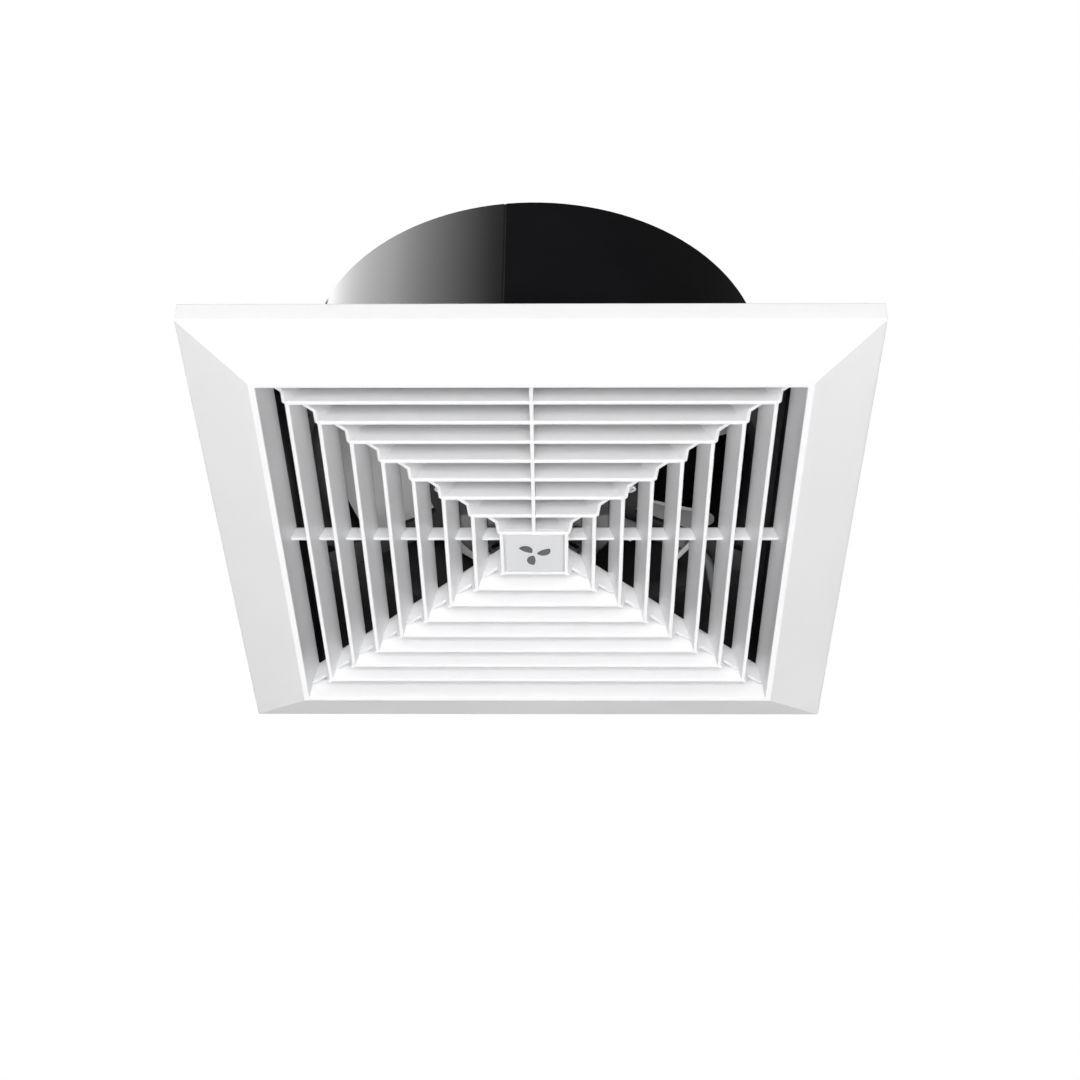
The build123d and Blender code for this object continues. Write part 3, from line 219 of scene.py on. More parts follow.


def finish(name, colour, roughness, texture="skin_grain", sizes=None, depth=0.00001, drift=0.06,
           edge=0.0004, edge_lift=1.15, dust=0.0, gloss_drift=0.05, **constants):
    """One finish: colour that drifts with the texture's tone, softened edges lifted in colour as rubbed
    wear and as a painted edge highlight, settled dust, roughness that follows them, and the texture's
    height as a bump. Constants go on the shader."""
    material = bpy.data.materials.new(name)
    material.use_nodes = True
    tree = material.node_tree
    shader = tree.nodes["Principled BSDF"]
    skin = place_group(tree, texture, **(sizes or {}))
    rounded = place_group(tree, "soft_edge", Radius=edge)
    tint = blend_colour(tree, skin["Tone"], scaled(colour, 1 - drift), scaled(colour, 1 + drift))
    # Edges lifted towards a lighter colour: partly rubbed wear, partly a painted edge highlight
    edge_wear_and_highlight = maths(tree, "MULTIPLY", rounded["Edge"], EDGE_WEAR_AND_HIGHLIGHT_SHARE)
    tint = blend_colour(tree, edge_wear_and_highlight, tint, scaled(colour, edge_lift))
    rough = spread(tree, skin["Tone"], 0.0, 1.0, roughness - gloss_drift, roughness + gloss_drift)
    if dust:
        lying = place_group(tree, "settled_dust", Amount=dust)["Dust"]
        tint = blend_colour(tree, lying, tint, DUST)
        rough = add(tree, "ShaderNodeMix", {0: lying, 2: rough, 3: DUST_ROUGHNESS}).outputs[0]
    raised = {"Height": skin["Height"], "Distance": depth, "Normal": rounded["Normal"]}
    bump = add(tree, "ShaderNodeBump", raised)
    tree.links.new(tint, shader.inputs["Base Color"])
    tree.links.new(rough, shader.inputs["Roughness"])
    tree.links.new(bump.outputs["Normal"], shader.inputs["Normal"])
    for label, value in constants.items():
        shader.inputs[label.replace("_", " ")].default_value = value
    return material


def dress(material, *names):
    """Gives CAD nodes their finish."""
    for name in names:
        mesh = nodes[name].data
        mesh.materials.clear()
        mesh.materials.append(material)


# --- Finishes ---
def panel_plastic(look):
    """White ABS with a fine spark-eroded grain."""
    return finish("panel_plastic", look.panel_colour, 0.36, sizes={"Grain": look.grain_size, "Drift": 0.09},
                  depth=look.grain_depth, drift=0.008, edge=0.5 * MM, edge_lift=1.03, gloss_drift=0.03,
                  Subsurface_Weight=0.25, Subsurface_Scale=0.004, Subsurface_Radius=(1.0, 1.0, 1.0))


def badge_plastic(look):
    """Light grey satin plate."""
    return finish("badge_plastic", look.badge_colour, 0.42, sizes={"Grain": 0.2 * MM, "Drift": 0.02},
                  depth=3e-6, drift=0.01, edge=0.3 * MM, edge_lift=1.1)


def mark_ink(look):
    """Dark satin relief of the fan sign."""
    return finish("mark_ink", look.mark_colour, 0.35, sizes={"Grain": 0.2 * MM, "Drift": 0.004},
                  depth=3e-6, drift=0.15, edge=0.1 * MM, edge_lift=1.6)


def peg_nylon():
    """Natural nylon of the push-in pegs."""
    return finish("peg_nylon", (0.82, 0.82, 0.78), 0.42, sizes={"Grain": 0.6 * MM, "Drift": 0.008},
                  depth=8e-6, drift=0.03, edge=0.3 * MM, edge_lift=1.05)


def base_plastic(look):
    """Black moulded base with a matt grain, dusty on top."""
    return finish("base_plastic", look.base_colour, 0.5, sizes={"Grain": 0.5 * MM, "Drift": 0.05},
                  depth=2e-5, drift=0.15, edge=0.5 * MM, edge_lift=2.2, dust=look.dust)


def drum_lacquer(look):
    """Gloss black lacquer on rolled sheet, with the slight orange peel of sprayed paint."""
    return finish("drum_lacquer", look.drum_colour, look.drum_roughness,
                  sizes={"Grain": 3.5 * MM, "Drift": 0.06}, depth=2e-6, drift=0.2, edge=0.12 * MM,
                  edge_lift=1.3, dust=0.4 * look.dust, gloss_drift=0.015,
                  Coat_Weight=0.25, Coat_Roughness=0.06)


def flap_plastic(look):
    """Black polypropylene flaps, a little waxy."""
    return finish("flap_plastic", look.base_colour, 0.42, sizes={"Grain": 1.2 * MM, "Drift": 0.025},
                  depth=1.5e-5, drift=0.2, edge=0.4 * MM, edge_lift=2.4, dust=look.dust)


def wiring_plastic(look):
    """Black flame-proof plastic of the wiring box, coarser than the base."""
    return finish("wiring_plastic", look.base_colour, 0.58, sizes={"Grain": 0.8 * MM, "Drift": 0.02},
                  depth=4e-5, drift=0.15, edge=0.5 * MM, edge_lift=2.4, dust=look.dust)


def motor_enamel():
    """Black enamel on the pressed motor can."""
    return finish("motor_enamel", (0.013, 0.013, 0.014), 0.32, sizes={"Grain": 1.4 * MM, "Drift": 0.02},
                  depth=1.2e-5, drift=0.2, edge=0.5 * MM, edge_lift=3.0, Coat_Weight=0.15)


def bracket_powder():
    """Black powder coat on the steel spider."""
    return finish("bracket_powder", (0.016, 0.016, 0.017), 0.48, sizes={"Grain": 0.9 * MM, "Drift": 0.02},
                  depth=4e-5, drift=0.15, edge=0.4 * MM, edge_lift=2.6)


def zinc_plate():
    """Bright zinc plating, mottled, with rubbed edges and a painted edge highlight."""
    return finish("zinc_plate", (0.62, 0.64, 0.67), 0.3, sizes={"Grain": 0.4 * MM, "Drift": 0.002},
                  depth=8e-6, drift=0.12, edge=0.25 * MM, edge_lift=1.35, gloss_drift=0.1, Metallic=1.0)


def core_steel():
    """Varnished electrical steel, sheet on sheet."""
    return finish("core_steel", (0.30, 0.29, 0.28), 0.42, texture="stacked_sheets",
                  sizes={"Pitch": 0.5 * MM}, depth=5e-5, drift=0.15, edge=0.2 * MM, Metallic=0.9)


def coil_copper():
    """Enamelled copper wire, wound side by side and varnished."""
    return finish("coil_copper", (0.62, 0.24, 0.09), 0.3, texture="wound_strands",
                  sizes={"Wire": 0.7 * MM}, depth=2e-4, drift=0.2, edge=0.3 * MM, Metallic=0.9,
                  Coat_Weight=0.5, Coat_Roughness=0.15)


def cast_alloy():
    """Die-cast aluminium of the rotor cage."""
    return finish("cast_alloy", (0.56, 0.57, 0.58), 0.45, sizes={"Grain": 0.7 * MM, "Drift": 0.006},
                  depth=4e-5, drift=0.1, edge=0.4 * MM, edge_lift=1.2, gloss_drift=0.1, Metallic=1.0)


def ground_steel(name, pitch, roughness):
    """Turned or ground steel, with its fine rings."""
    return finish(name, (0.60, 0.60, 0.61), roughness, texture="turned_rings", sizes={"Pitch": pitch},
                  depth=4e-6, drift=0.08, edge=0.25 * MM, edge_lift=1.25, gloss_drift=0.06, Metallic=1.0)


def impeller_plastic(look):
    """White polypropylene with a soft, waxy gloss."""
    return finish("impeller_plastic", look.impeller_colour, 0.4, sizes={"Grain": 1.5 * MM, "Drift": 0.03},
                  depth=1.2e-5, drift=0.015, edge=0.5 * MM, edge_lift=1.03)


def black_rubber():
    """Matt black rubber with a bloom."""
    return finish("black_rubber", (0.018, 0.018, 0.019), 0.78, sizes={"Grain": 0.5 * MM, "Drift": 0.006},
                  depth=3e-5, drift=0.2, edge=0.4 * MM, edge_lift=1.8, Sheen_Weight=0.15)


def capacitor_case():
    """Smooth black case of the run capacitor."""
    return finish("capacitor_case", (0.012, 0.012, 0.013), 0.3, sizes={"Grain": 1.0 * MM, "Drift": 0.01},
                  depth=1e-5, drift=0.2, edge=0.3 * MM, edge_lift=2.0)


def terminal_nylon():
    """Natural nylon of the terminal block."""
    return finish("terminal_nylon", (0.74, 0.72, 0.64), 0.45, sizes={"Grain": 0.6 * MM, "Drift": 0.01},
                  depth=1e-5, drift=0.04, edge=0.3 * MM, edge_lift=1.08)


def lead_vinyl():
    """Grey sheath of the motor's lead."""
    return finish("lead_vinyl", (0.24, 0.25, 0.27), 0.5, sizes={"Grain": 0.9 * MM, "Drift": 0.012},
                  depth=3e-5, drift=0.08, edge=0.3 * MM, edge_lift=1.2)


def tie_nylon():
    """White nylon of the lead's ties."""
    return finish("tie_nylon", (0.78, 0.78, 0.75), 0.38, sizes={"Grain": 0.5 * MM, "Drift": 0.004},
                  depth=1.2e-5, drift=0.04, edge=0.2 * MM, edge_lift=1.08)


# --- Surfaces worked out on a grid ---
def surface(name, grid, close_rows=True, close_columns=True, crease=35.0):
    """Mesh over a grid of points. Rows follow the first parameter and columns the second, and a closed
    parameter joins its last line to its first. Faces are turned outwards by the volume they enclose."""
    rows, columns = grid.shape[:2]
    index = np.arange(rows * columns).reshape(rows, columns)
    if close_rows:
        index = np.vstack([index, index[:1]])
    if close_columns:
        index = np.hstack([index, index[:, :1]])
    quads = np.stack([index[:-1, :-1], index[1:, :-1], index[1:, 1:], index[:-1, 1:]], -1).reshape(-1, 4)
    points = grid.reshape(-1, 3)
    a, b, c, d = (points[quads[:, corner]] for corner in range(4))
    volume = np.sum(a * np.cross(b, c)) + np.sum(a * np.cross(c, d))
    if volume < 0:
        quads = quads[:, ::-1]
    mesh = bpy.data.meshes.new(name)
    mesh.from_pydata(points.tolist(), [], quads.tolist())
    mesh.polygons.foreach_set("use_smooth", np.ones(len(quads), bool))
    mesh.set_sharp_from_angle(angle=math.radians(crease))
    mesh.update()
    piece = bpy.data.objects.new(name, mesh)
    bpy.context.scene.collection.objects.link(piece)
    return piece


def fit(piece, material, body):
    """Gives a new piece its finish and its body."""
    piece.data.materials.append(material)
    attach(piece, body)
    return piece


def ring_angles(count):
    """Evenly spread angles round a circle, in radians."""
    return np.arange(count) / count * 2 * math.pi


def middle_of(low, high):
    """Centre of a box."""
    return (np.array(low) + np.array(high)) / 2


# --- Cable gland ---
GLAND_SIDES = 144
GLAND_FLUTES = 18
GLAND_FLUTE = 0.35 * MM         # half the depth of the flutes' wave
GLAND_FLUTE_FLOOR = -0.2        # where that wave is cut off flat, from -1 to 1
GLAND_PITCH = 1.5 * MM
GLAND_THREAD = 0.5 * MM         # depth of the thread
GLAND_THREAD_RADIUS = 6.0 * MM
GLAND_BORE = 5.0 * MM
GLAND_DOME = 2.2 * MM           # depth of the domed end
GLAND_RIM = 0.4 * MM            # flat left round the bore
THREAD_STEPS = 33
CAP_STEPS = 6
DOME_STEPS = 9
BORE_STEPS = 7
NUT_BEVEL = 0.3 * MM
NUT_BEVEL_SHARE = 0.93          # a bevelled corner's share of the full radius
NUT_CORNER = 0.25 * MM          # how much each corner is cut back
SEAL_BORE = 3.5 * MM
SEAL_DEPTH = 4.0 * MM
SEAL_SIDES = 72
SEAL_ROUND = 24


def gland_grid(cap_radius, hex_radius, hex_length, length, inside):
    """Points of the gland about the X axis. The first parameter runs once round, the second along a closed
    profile: thread, hexagon, fluted cap, domed end and back through the bore. A point's radius depends on
    its angle: the distance of a hexagon's side on the nut, a cosine wave on the cap, and a wave that climbs
    one pitch a turn on the thread."""
    angle = ring_angles(GLAND_SIDES)[:, None]
    side, half_side = math.pi / 3, math.pi / 6
    dome = np.linspace(0.0, math.pi / 2, DOME_STEPS)
    thread_at = np.linspace(-inside, 0.0, THREAD_STEPS)
    hex_at = np.array([0.0, NUT_BEVEL, hex_length / 2, hex_length - NUT_BEVEL, hex_length])
    cap_at = np.linspace(hex_length, length - GLAND_DOME, CAP_STEPS)
    dome_at = length - GLAND_DOME + GLAND_DOME * np.sin(dome)
    bore_at = np.linspace(length, -inside, BORE_STEPS)
    along = np.concatenate([thread_at, hex_at, cap_at, dome_at, bore_at])
    helix = 0.5 + 0.5 * np.cos(2 * math.pi * thread_at / GLAND_PITCH - angle)
    thread = GLAND_THREAD_RADIUS - GLAND_THREAD * helix
    flat = hex_radius * math.cos(half_side) / np.cos((angle + half_side) % side - half_side)
    corner = np.minimum(flat, hex_radius - NUT_CORNER)
    bevel = np.minimum(flat, NUT_BEVEL_SHARE * hex_radius)
    nut = np.concatenate([bevel, corner, corner, corner, bevel], axis=1)
    flute = np.clip(np.cos(GLAND_FLUTES * angle), GLAND_FLUTE_FLOOR, 1.0)
    cap = cap_radius - GLAND_FLUTE * (1 - flute) + 0.0 * cap_at
    crown = cap[:, -1:] - (cap_radius - GLAND_BORE - GLAND_RIM) * (1 - np.cos(dome))
    hole = np.full((GLAND_SIDES, BORE_STEPS), GLAND_BORE)
    radius = np.concatenate([thread, nut, cap, crown, hole], axis=1)
    return np.stack([-along + 0.0 * radius, radius * np.cos(angle), radius * np.sin(angle)], axis=-1)


def seal_grid(outer, inner, low, high):
    """Points of the rubber seal about the X axis: an ellipse carried round the bore. It spans the two radii
    and the two distances from the gland's seat."""
    angle = ring_angles(SEAL_SIDES)[:, None]
    turn = ring_angles(SEAL_ROUND)[None, :]
    radius = (outer + inner) / 2 + (outer - inner) / 2 * np.cos(turn) + 0.0 * angle
    along = (low + high) / 2 + (high - low) / 2 * np.sin(turn) + 0.0 * angle
    return np.stack([-along, radius * np.cos(angle), radius * np.sin(angle)], axis=-1)


# --- Stator coils ---
POLES = 4
COIL_REACHES = ((45.0, 1.0), (18.0, 0.5))   # half span in degrees, and share of the overhang
COIL_STEPS = 72
COIL_WIRES = 22
WIRE_STEPS = 3
COIL_INSET = 5.4 * MM           # coil's middle to the winding's outside
COIL_HALF_WIDTH = 4.4 * MM
COIL_HALF_DEPTH = 1.35 * MM
COIL_CORNER = 0.42              # powers of the two superellipses, 1 for round and 0 for square
BUNDLE_CORNER = 0.7
WIRE_SWELL = 0.07
WIRE_TWIST = 2.0


def signed_power(value, power):
    """Power of a number's size that keeps its sign."""
    return np.sign(value) * np.abs(value) ** power


def coil_grid(centre_angle, half_span, radius, half_width, half_depth, low, high):
    """Points of one coil: a bundle of wires carried round a rounded rectangle on a cylinder. The path is a
    superellipse in angle and height, and the bundle's section is a superellipse whose rim swells once for
    every wire."""
    along = ring_angles(COIL_STEPS)[:, None]
    turn = ring_angles(COIL_WIRES * WIRE_STEPS)[None, :]
    run = signed_power(np.cos(along), COIL_CORNER)
    climb = signed_power(np.sin(along), COIL_CORNER)
    swell = 1.0 + WIRE_SWELL * np.cos(COIL_WIRES * turn + WIRE_TWIST * along)
    wide = signed_power(np.cos(turn), BUNDLE_CORNER) * half_width * swell
    deep = signed_power(np.sin(turn), BUNDLE_CORNER) * half_depth * swell
    arc = half_span * radius
    tall = (high - low) / 2
    normal_run = signed_power(run, 3)
    normal_climb = signed_power(climb, 3)
    size = np.hypot(normal_run, normal_climb)
    across = (arc - half_depth) * run + deep * normal_run / size
    height = (low + high) / 2 + (tall - half_depth) * climb + deep * normal_climb / size
    angle = centre_angle + across / radius
    out = radius + wide + 0.0 * across
    return np.stack([out * np.cos(angle), out * np.sin(angle), height], axis=-1)


# --- Drum hem ---
HEM_DROP = 0.2 * MM             # hem's top below the drum's edge
HEM_SIDES = 256
HEM_ROUND = 16


def hem_grid(radius, thickness, top, height):
    """Points of the drum's rolled hem: an oval carried round the drum's inside edge."""
    angle = ring_angles(HEM_SIDES)[:, None]
    turn = ring_angles(HEM_ROUND)[None, :]
    out = radius - thickness / 2 + thickness / 2 * np.cos(turn) + 0.0 * angle
    level = top - height / 2 + height / 2 * np.sin(turn) + 0.0 * angle
    return np.stack([out * np.cos(angle), out * np.sin(angle), level], axis=-1)


def joined(name, pieces):
    """One piece made of several loose ones."""
    with bpy.context.temp_override(active_object=pieces[0], selected_editable_objects=pieces):
        bpy.ops.object.join()
    pieces[0].name = name
    return pieces[0]


# --- Settings ---
def colour_property(name, description, value):
    """Setting that holds a colour."""
    return FloatVectorProperty(name=name, description=description, default=value, subtype="COLOR",
                               min=0.0, max=1.0)


class FAN_PG_look(bpy.types.PropertyGroup):
    """Colours and textures of the fan's plastics and lacquer."""
    panel_colour: colour_property("Panel", "White of the frame and the slats", (0.90, 0.90, 0.91))
    badge_colour: colour_property("Badge", "Grey of the centre plate", (0.66, 0.665, 0.68))
    mark_colour: colour_property("Sign", "Dark of the fan sign", (0.02, 0.02, 0.022))
    impeller_colour: colour_property("Impeller", "White of the impeller", (0.80, 0.80, 0.80))
    base_colour: colour_property("Base", "Black of the base, the flaps and the wiring box",
                                 (0.012, 0.012, 0.013))
    drum_colour: colour_property("Drum", "Black of the drum's lacquer", (0.006, 0.006, 0.007))
    drum_roughness: FloatProperty(name="Drum roughness",
                                  description="How blurred the lacquer's reflections are",
                                  default=0.1, min=0.0, max=1.0)
    grain_size: FloatProperty(name="Panel grain", description="Width of one grain of the panel's texture",
                              default=0.0004, unit="LENGTH")
    grain_depth: FloatProperty(name="Panel grain depth", description="Height of the panel's texture",
                               default=0.000006, unit="LENGTH")
    gland_cap: FloatProperty(name="Gland cap", description="Diameter of the cable gland's cap",
                             default=0.015, unit="LENGTH")
    gland_nut: FloatProperty(name="Gland nut", description="Length of the cable gland's hexagon",
                             default=0.005, unit="LENGTH")
    hem_thickness: FloatProperty(name="Hem thickness", description="Thickness of the drum's rolled hem",
                                 default=0.0013, unit="LENGTH")
    hem_height: FloatProperty(name="Hem height", description="Height of the drum's rolled hem",
                              default=0.0035, unit="LENGTH")
    dust: FloatProperty(name="Dust", description="Share of the upward faces that dust covers",
                        default=0.12, min=0.0, max=1.0)


class FAN_PG_stage(bpy.types.PropertyGroup):
    """Camera, lights and floor."""
    camera_place: FloatVectorProperty(name="Camera", description="Where the camera stands",
                                      default=(0.01682, -0.85947, -0.68918), subtype="XYZ", unit="LENGTH")
    camera_rise: FloatProperty(name="Rise", description="How far the camera looks up",
                               default=math.radians(38.31), subtype="ANGLE")
    camera_turn: FloatProperty(name="Turn", description="How far the camera looks to the left",
                               default=math.radians(0.92), subtype="ANGLE")
    camera_roll: FloatProperty(name="Roll", description="How far the camera is tipped to its right",
                               default=math.radians(-0.567), subtype="ANGLE")
    lens: FloatProperty(name="Lens", description="Focal length on a 36 mm sensor", default=67.34)
    floor_drop: FloatProperty(name="Floor", description="How far the floor lies below the ceiling plane",
                              default=1.6, unit="LENGTH")
    light_level: FloatProperty(name="Light", description="Factor on every lamp's power", default=1.0)


# --- Operators ---
class FAN_OT_panel(bpy.types.Operator):
    """Finish the panel's frame, slats, badge, sign and pegs"""
    bl_idname = "fan.panel"
    bl_label = "Panel"

    def execute(self, context):
        look = context.scene.fan_look
        dress(panel_plastic(look), "panel_frame", "louvre_grille")
        dress(badge_plastic(look), "badge_plate")
        dress(mark_ink(look), "badge_mark")
        dress(peg_nylon(), "panel_pegs")
        return {"FINISHED"}


class FAN_OT_housing(bpy.types.Operator):
    """Finish the base, the shroud and the drum"""
    bl_idname = "fan.housing"
    bl_label = "Housing"

    def execute(self, context):
        look = context.scene.fan_look
        dress(base_plastic(look), "base_frame", "inlet_shroud")
        lacquer = drum_lacquer(look)
        dress(lacquer, "drum_casing", "seam_strip")
        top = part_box("drum_casing")[1][2]
        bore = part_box("damper_seat")[1][0]
        hem = surface("drum_hem", hem_grid(bore, look.hem_thickness, top - HEM_DROP, look.hem_height))
        fit(hem, lacquer, "housing")
        return {"FINISHED"}


class FAN_OT_damper(bpy.types.Operator):
    """Finish the backdraft damper"""
    bl_idname = "fan.damper"
    bl_label = "Damper"

    def execute(self, context):
        look = context.scene.fan_look
        dress(flap_plastic(look), "damper_seat", "damper_flap_left", "damper_flap_right")
        dress(ground_steel("axle_steel", 0.3 * MM, 0.28), "damper_axle")
        return {"FINISHED"}


class FAN_OT_motor(bpy.types.Operator):
    """Finish the motor, its bracket and its bearings"""
    bl_idname = "fan.motor"
    bl_label = "Motor"

    def execute(self, context):
        dress(motor_enamel(), "motor_front_bell", "motor_rear_bell")
        dress(bracket_powder(), "motor_bracket")
        dress(black_rubber(), "motor_grommets", "lead_grommet")
        dress(core_steel(), "stator_core")
        winding_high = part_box("stator_windings")[1]
        core_low, core_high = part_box("stator_core")
        overhang = winding_high[2] - core_high[2]
        coils = []
        for pole in range(POLES):
            for half_span, reach in COIL_REACHES:
                coils.append(surface("coil", coil_grid(
                    pole * 2 * math.pi / POLES, math.radians(half_span), winding_high[0] - COIL_INSET,
                    COIL_HALF_WIDTH, COIL_HALF_DEPTH,
                    core_low[2] - reach * overhang, core_high[2] + reach * overhang)))
        windings = fit(joined("stator_coils", coils), coil_copper(), "housing")
        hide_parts("stator_windings")
        dress(cast_alloy(), "rotor_core")
        dress(ground_steel("bearing_steel", 0.15 * MM, 0.16), "front_bearing", "rear_bearing")
        dress(ground_steel("shaft_steel", 0.25 * MM, 0.24), "motor_shaft", "drive_pin")
        return {"FINISHED"}


class FAN_OT_impeller(bpy.types.Operator):
    """Finish the impeller"""
    bl_idname = "fan.impeller"
    bl_label = "Impeller"

    def execute(self, context):
        dress(impeller_plastic(context.scene.fan_look), "impeller")
        return {"FINISHED"}


class FAN_OT_fasteners(bpy.types.Operator):
    """Finish the screws, nuts and bolts"""
    bl_idname = "fan.fasteners"
    bl_label = "Fasteners"

    def execute(self, context):
        dress(zinc_plate(), "casing_screws", "casing_nuts", "motor_mount_screws", "motor_mount_nuts",
              "motor_through_bolts", "impeller_nut", "wiring_cover_screws")
        return {"FINISHED"}


class FAN_OT_wiring(bpy.types.Operator):
    """Finish the wiring box, what it holds, and the motor's lead"""
    bl_idname = "fan.wiring"
    bl_label = "Wiring"

    def execute(self, context):
        look = context.scene.fan_look
        plastic = wiring_plastic(look)
        dress(plastic, "wiring_box", "wiring_cover", "gland_locknut")
        low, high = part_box("cable_gland")
        centre = middle_of(low, high)
        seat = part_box("wiring_box")[0][0]
        length = seat - low[0]
        hex_radius = (high[1] - low[1]) / 2
        grid = gland_grid(look.gland_cap / 2, hex_radius, look.gland_nut, length, high[0] - seat)
        place = np.array([seat, centre[1], centre[2]])
        gland = fit(surface("gland_body", grid + place), plastic, "housing")
        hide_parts("cable_gland")
        seal = surface("gland_seal", seal_grid(GLAND_BORE, SEAL_BORE, length - SEAL_DEPTH, length) + place)
        fit(seal, black_rubber(), "housing")
        dress(capacitor_case(), "run_capacitor")
        dress(terminal_nylon(), "terminal_block")
        dress(lead_vinyl(), "motor_lead")
        dress(tie_nylon(), "lead_ties")
        return {"FINISHED"}


# --- Stage ---
WHITE = (1.0, 1.0, 1.0)
COOL = (0.92, 0.94, 1.0)
WORLD_SEEN = 1.0
WORLD_FELT = 0.035
FLOOR_GLOW = 0.68
FLOOR_REACH = 6.0
LAMPS = {
    "key_lamp": ((0.0, -1.5, -1.1), (1.6, 0.9), 32.0, WHITE),
    "front_lamp": ((0.0, -2.0, -0.15), (2.0, 0.7), 9.5, WHITE),
    "left_lamp": ((-1.7, -0.2, -0.7), (0.8, 1.2), 1.0, COOL),
    "right_lamp": ((1.7, -0.2, -0.7), (0.8, 1.2), 1.0, COOL),
    "far_lamp": ((0.0, 1.6, -1.0), (1.6, 0.9), 13.0, WHITE),
    "back_lamp": ((0.3, 1.8, 1.4), (1.4, 1.0), 25.0, WHITE),
}
# Tall lamp beside the drum, whose near edge shows in the lacquer at the seam
WALL_AZIMUTH = 71.7
WALL_DISTANCE = 1.18
WALL_HEIGHT = 1.6
WALL_SLIDE = 0.35
WALL_SIZE = (4.25, 1.7)
WALL_POWER = 71.8
WALL_FADE = {"weakest": 0.055, "full_share": 0.426, "curve": 1.7}


def lamp(name, place, target, size, power, colour=WHITE):
    """Soft rectangular lamp that looks at a target and isn't seen itself."""
    light = bpy.data.lights.new(name, "AREA")
    light.shape = "RECTANGLE"
    light.size, light.size_y = size
    light.energy = power
    light.color = colour
    made = bpy.data.objects.new(name, light)
    made.location = place
    made.rotation_mode = "QUATERNION"
    made.rotation_quaternion = (Vector(target) - Vector(place)).to_track_quat("-Z", "Y")
    made.visible_camera = False
    bpy.context.scene.collection.objects.link(made)
    return made


def around(azimuth, distance, height, slide):
    """Point at a distance from the axis, slid sideways. The azimuth runs from the near side towards the
    left, and the slide goes the same way."""
    turn = math.radians(azimuth)
    return (-distance * math.sin(turn) - slide * math.cos(turn),
            -distance * math.cos(turn) + slide * math.sin(turn), height)


def fade_lamp(made, weakest, full_share, curve):
    """Makes a lamp fade across its width: weakest at its near end, full from a share of the width on."""
    light = made.data
    light.use_nodes = True
    tree = light.node_tree
    place = add(tree, "ShaderNodeNewGeometry").outputs["Parametric"]
    across = add(tree, "ShaderNodeSeparateXYZ", {0: place})
    share = spread(tree, across.outputs["X"], 1.0, 1.0 - full_share)
    strength = spread(tree, maths(tree, "POWER", share, curve), 0.0, 1.0, weakest, 1.0)
    tree.links.new(strength, tree.nodes["Emission"].inputs["Strength"])


def make_world(scene, seen, felt):
    """Even backdrop: one brightness where it is seen, another where it lights and reflects."""
    scene.world = bpy.data.worlds.new("studio_world")
    scene.world.use_nodes = True
    tree = scene.world.node_tree
    background = tree.nodes["Background"]
    background.inputs["Color"].default_value = (1.0, 1.0, 1.0, 1.0)
    direct = add(tree, "ShaderNodeLightPath").outputs["Is Camera Ray"]
    tree.links.new(spread(tree, direct, 0.0, 1.0, felt, seen), background.inputs["Strength"])


def make_camera(scene, stage):
    """Camera from its place, rise, turn and roll."""
    data = bpy.data.cameras.new("camera")
    data.sensor_width = 36.0
    data.lens = stage.lens
    data.clip_start = 0.01
    camera = bpy.data.objects.new("camera", data)
    turn = Matrix.Rotation(stage.camera_turn, 4, "Z")
    rise = Matrix.Rotation(math.pi / 2 + stage.camera_rise, 4, "X")
    roll = Matrix.Rotation(-stage.camera_roll, 4, "Z")
    camera.matrix_world = Matrix.Translation(stage.camera_place) @ (turn @ rise) @ roll
    scene.collection.objects.link(camera)
    scene.camera = camera


def make_floor(drop):
    """Plain pale floor well below the fan. Its glow is only seen: it lights nothing."""
    side = FLOOR_REACH
    grid = np.array([[[-side, -side, -drop], [side, -side, -drop]],
                     [[-side, side, -drop], [side, side, -drop]]])
    floor = surface("floor", grid, close_rows=False, close_columns=False)
    material = finish("floor_paint", (0.80, 0.80, 0.80), 0.75, sizes={"Grain": 0.004, "Drift": 0.5},
                      depth=1e-5, drift=0.01, edge_lift=1.0)
    tree = material.node_tree
    shader = tree.nodes["Principled BSDF"]
    shader.inputs["Emission Color"].default_value = WHITE + (1.0,)
    seen = add(tree, "ShaderNodeLightPath").outputs["Is Camera Ray"]
    tree.links.new(spread(tree, seen, 0.0, 1.0, 0.0, FLOOR_GLOW), shader.inputs["Emission Strength"])
    floor.data.materials.append(material)


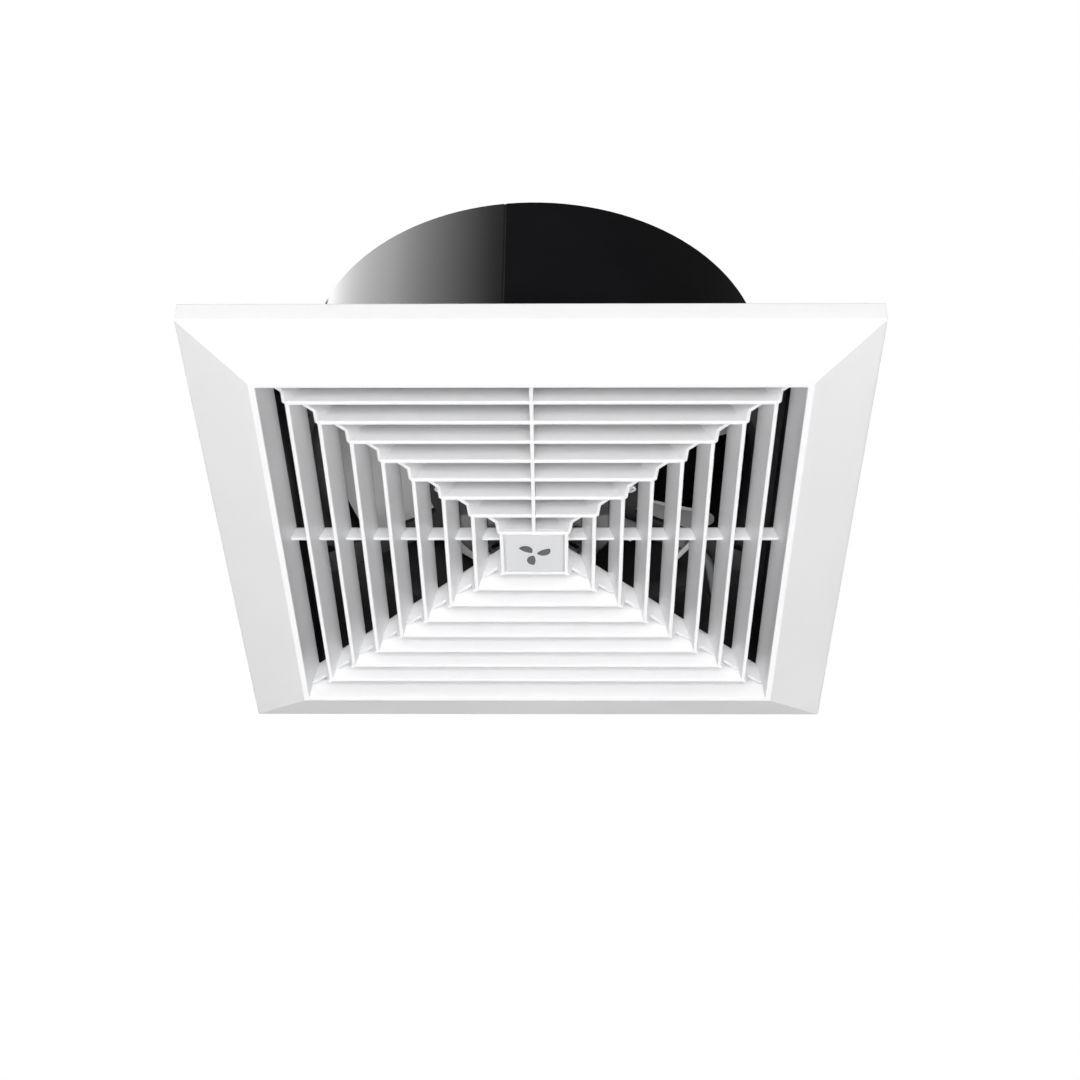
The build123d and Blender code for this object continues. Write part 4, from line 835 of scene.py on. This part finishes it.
class FAN_OT_stage(bpy.types.Operator):
    """Set up the floor, the lamps and the camera"""
    bl_idname = "fan.stage"
    bl_label = "Stage"

    def execute(self, context):
        scene = context.scene
        stage = scene.fan_stage
        level = stage.light_level
        scene.view_settings.view_transform = "Standard"
        make_world(scene, WORLD_SEEN, WORLD_FELT)
        make_camera(scene, stage)
        make_floor(stage.floor_drop)
        for name, (place, size, power, colour) in LAMPS.items():
            lamp(name, place, (0.0, 0.0, 0.0), size, power * level, colour)
        wall = lamp("drum_lamp", around(WALL_AZIMUTH, WALL_DISTANCE, WALL_HEIGHT, WALL_SLIDE),
                    around(WALL_AZIMUTH, 0.0, WALL_HEIGHT, WALL_SLIDE), WALL_SIZE, WALL_POWER * level)
        fade_lamp(wall, **WALL_FADE)
        return {"FINISHED"}


class FAN_PT_sidebar(bpy.types.Panel):
    """Every step of the fan's finish, and its settings"""
    bl_idname = "FAN_PT_sidebar"
    bl_label = "Ceiling Extractor Fan"
    bl_space_type = "VIEW_3D"
    bl_region_type = "UI"
    bl_category = "Fan"

    def draw(self, context):
        for settings in (context.scene.fan_look, context.scene.fan_stage):
            for name in settings.__annotations__:
                self.layout.prop(settings, name)
        for operator in OPERATORS:
            self.layout.operator(operator.bl_idname)


OPERATORS = (FAN_OT_stage, FAN_OT_panel, FAN_OT_housing, FAN_OT_damper, FAN_OT_motor, FAN_OT_impeller,
             FAN_OT_fasteners, FAN_OT_wiring)
CLASSES = (FAN_PG_look, FAN_PG_stage, *OPERATORS, FAN_PT_sidebar)


def register():
    for kind in CLASSES:
        bpy.utils.register_class(kind)
    bpy.types.Scene.fan_look = PointerProperty(type=FAN_PG_look)
    bpy.types.Scene.fan_stage = PointerProperty(type=FAN_PG_stage)


def unregister():
    del bpy.types.Scene.fan_stage
    del bpy.types.Scene.fan_look
    for kind in reversed(CLASSES):
        bpy.utils.unregister_class(kind)


def main():
    """Makes every piece and finish in order."""
    register()
    for operator in OPERATORS:
        group, name = operator.bl_idname.split(".")
        getattr(getattr(bpy.ops, group), name)()


if __name__ == "__main__":
    main()
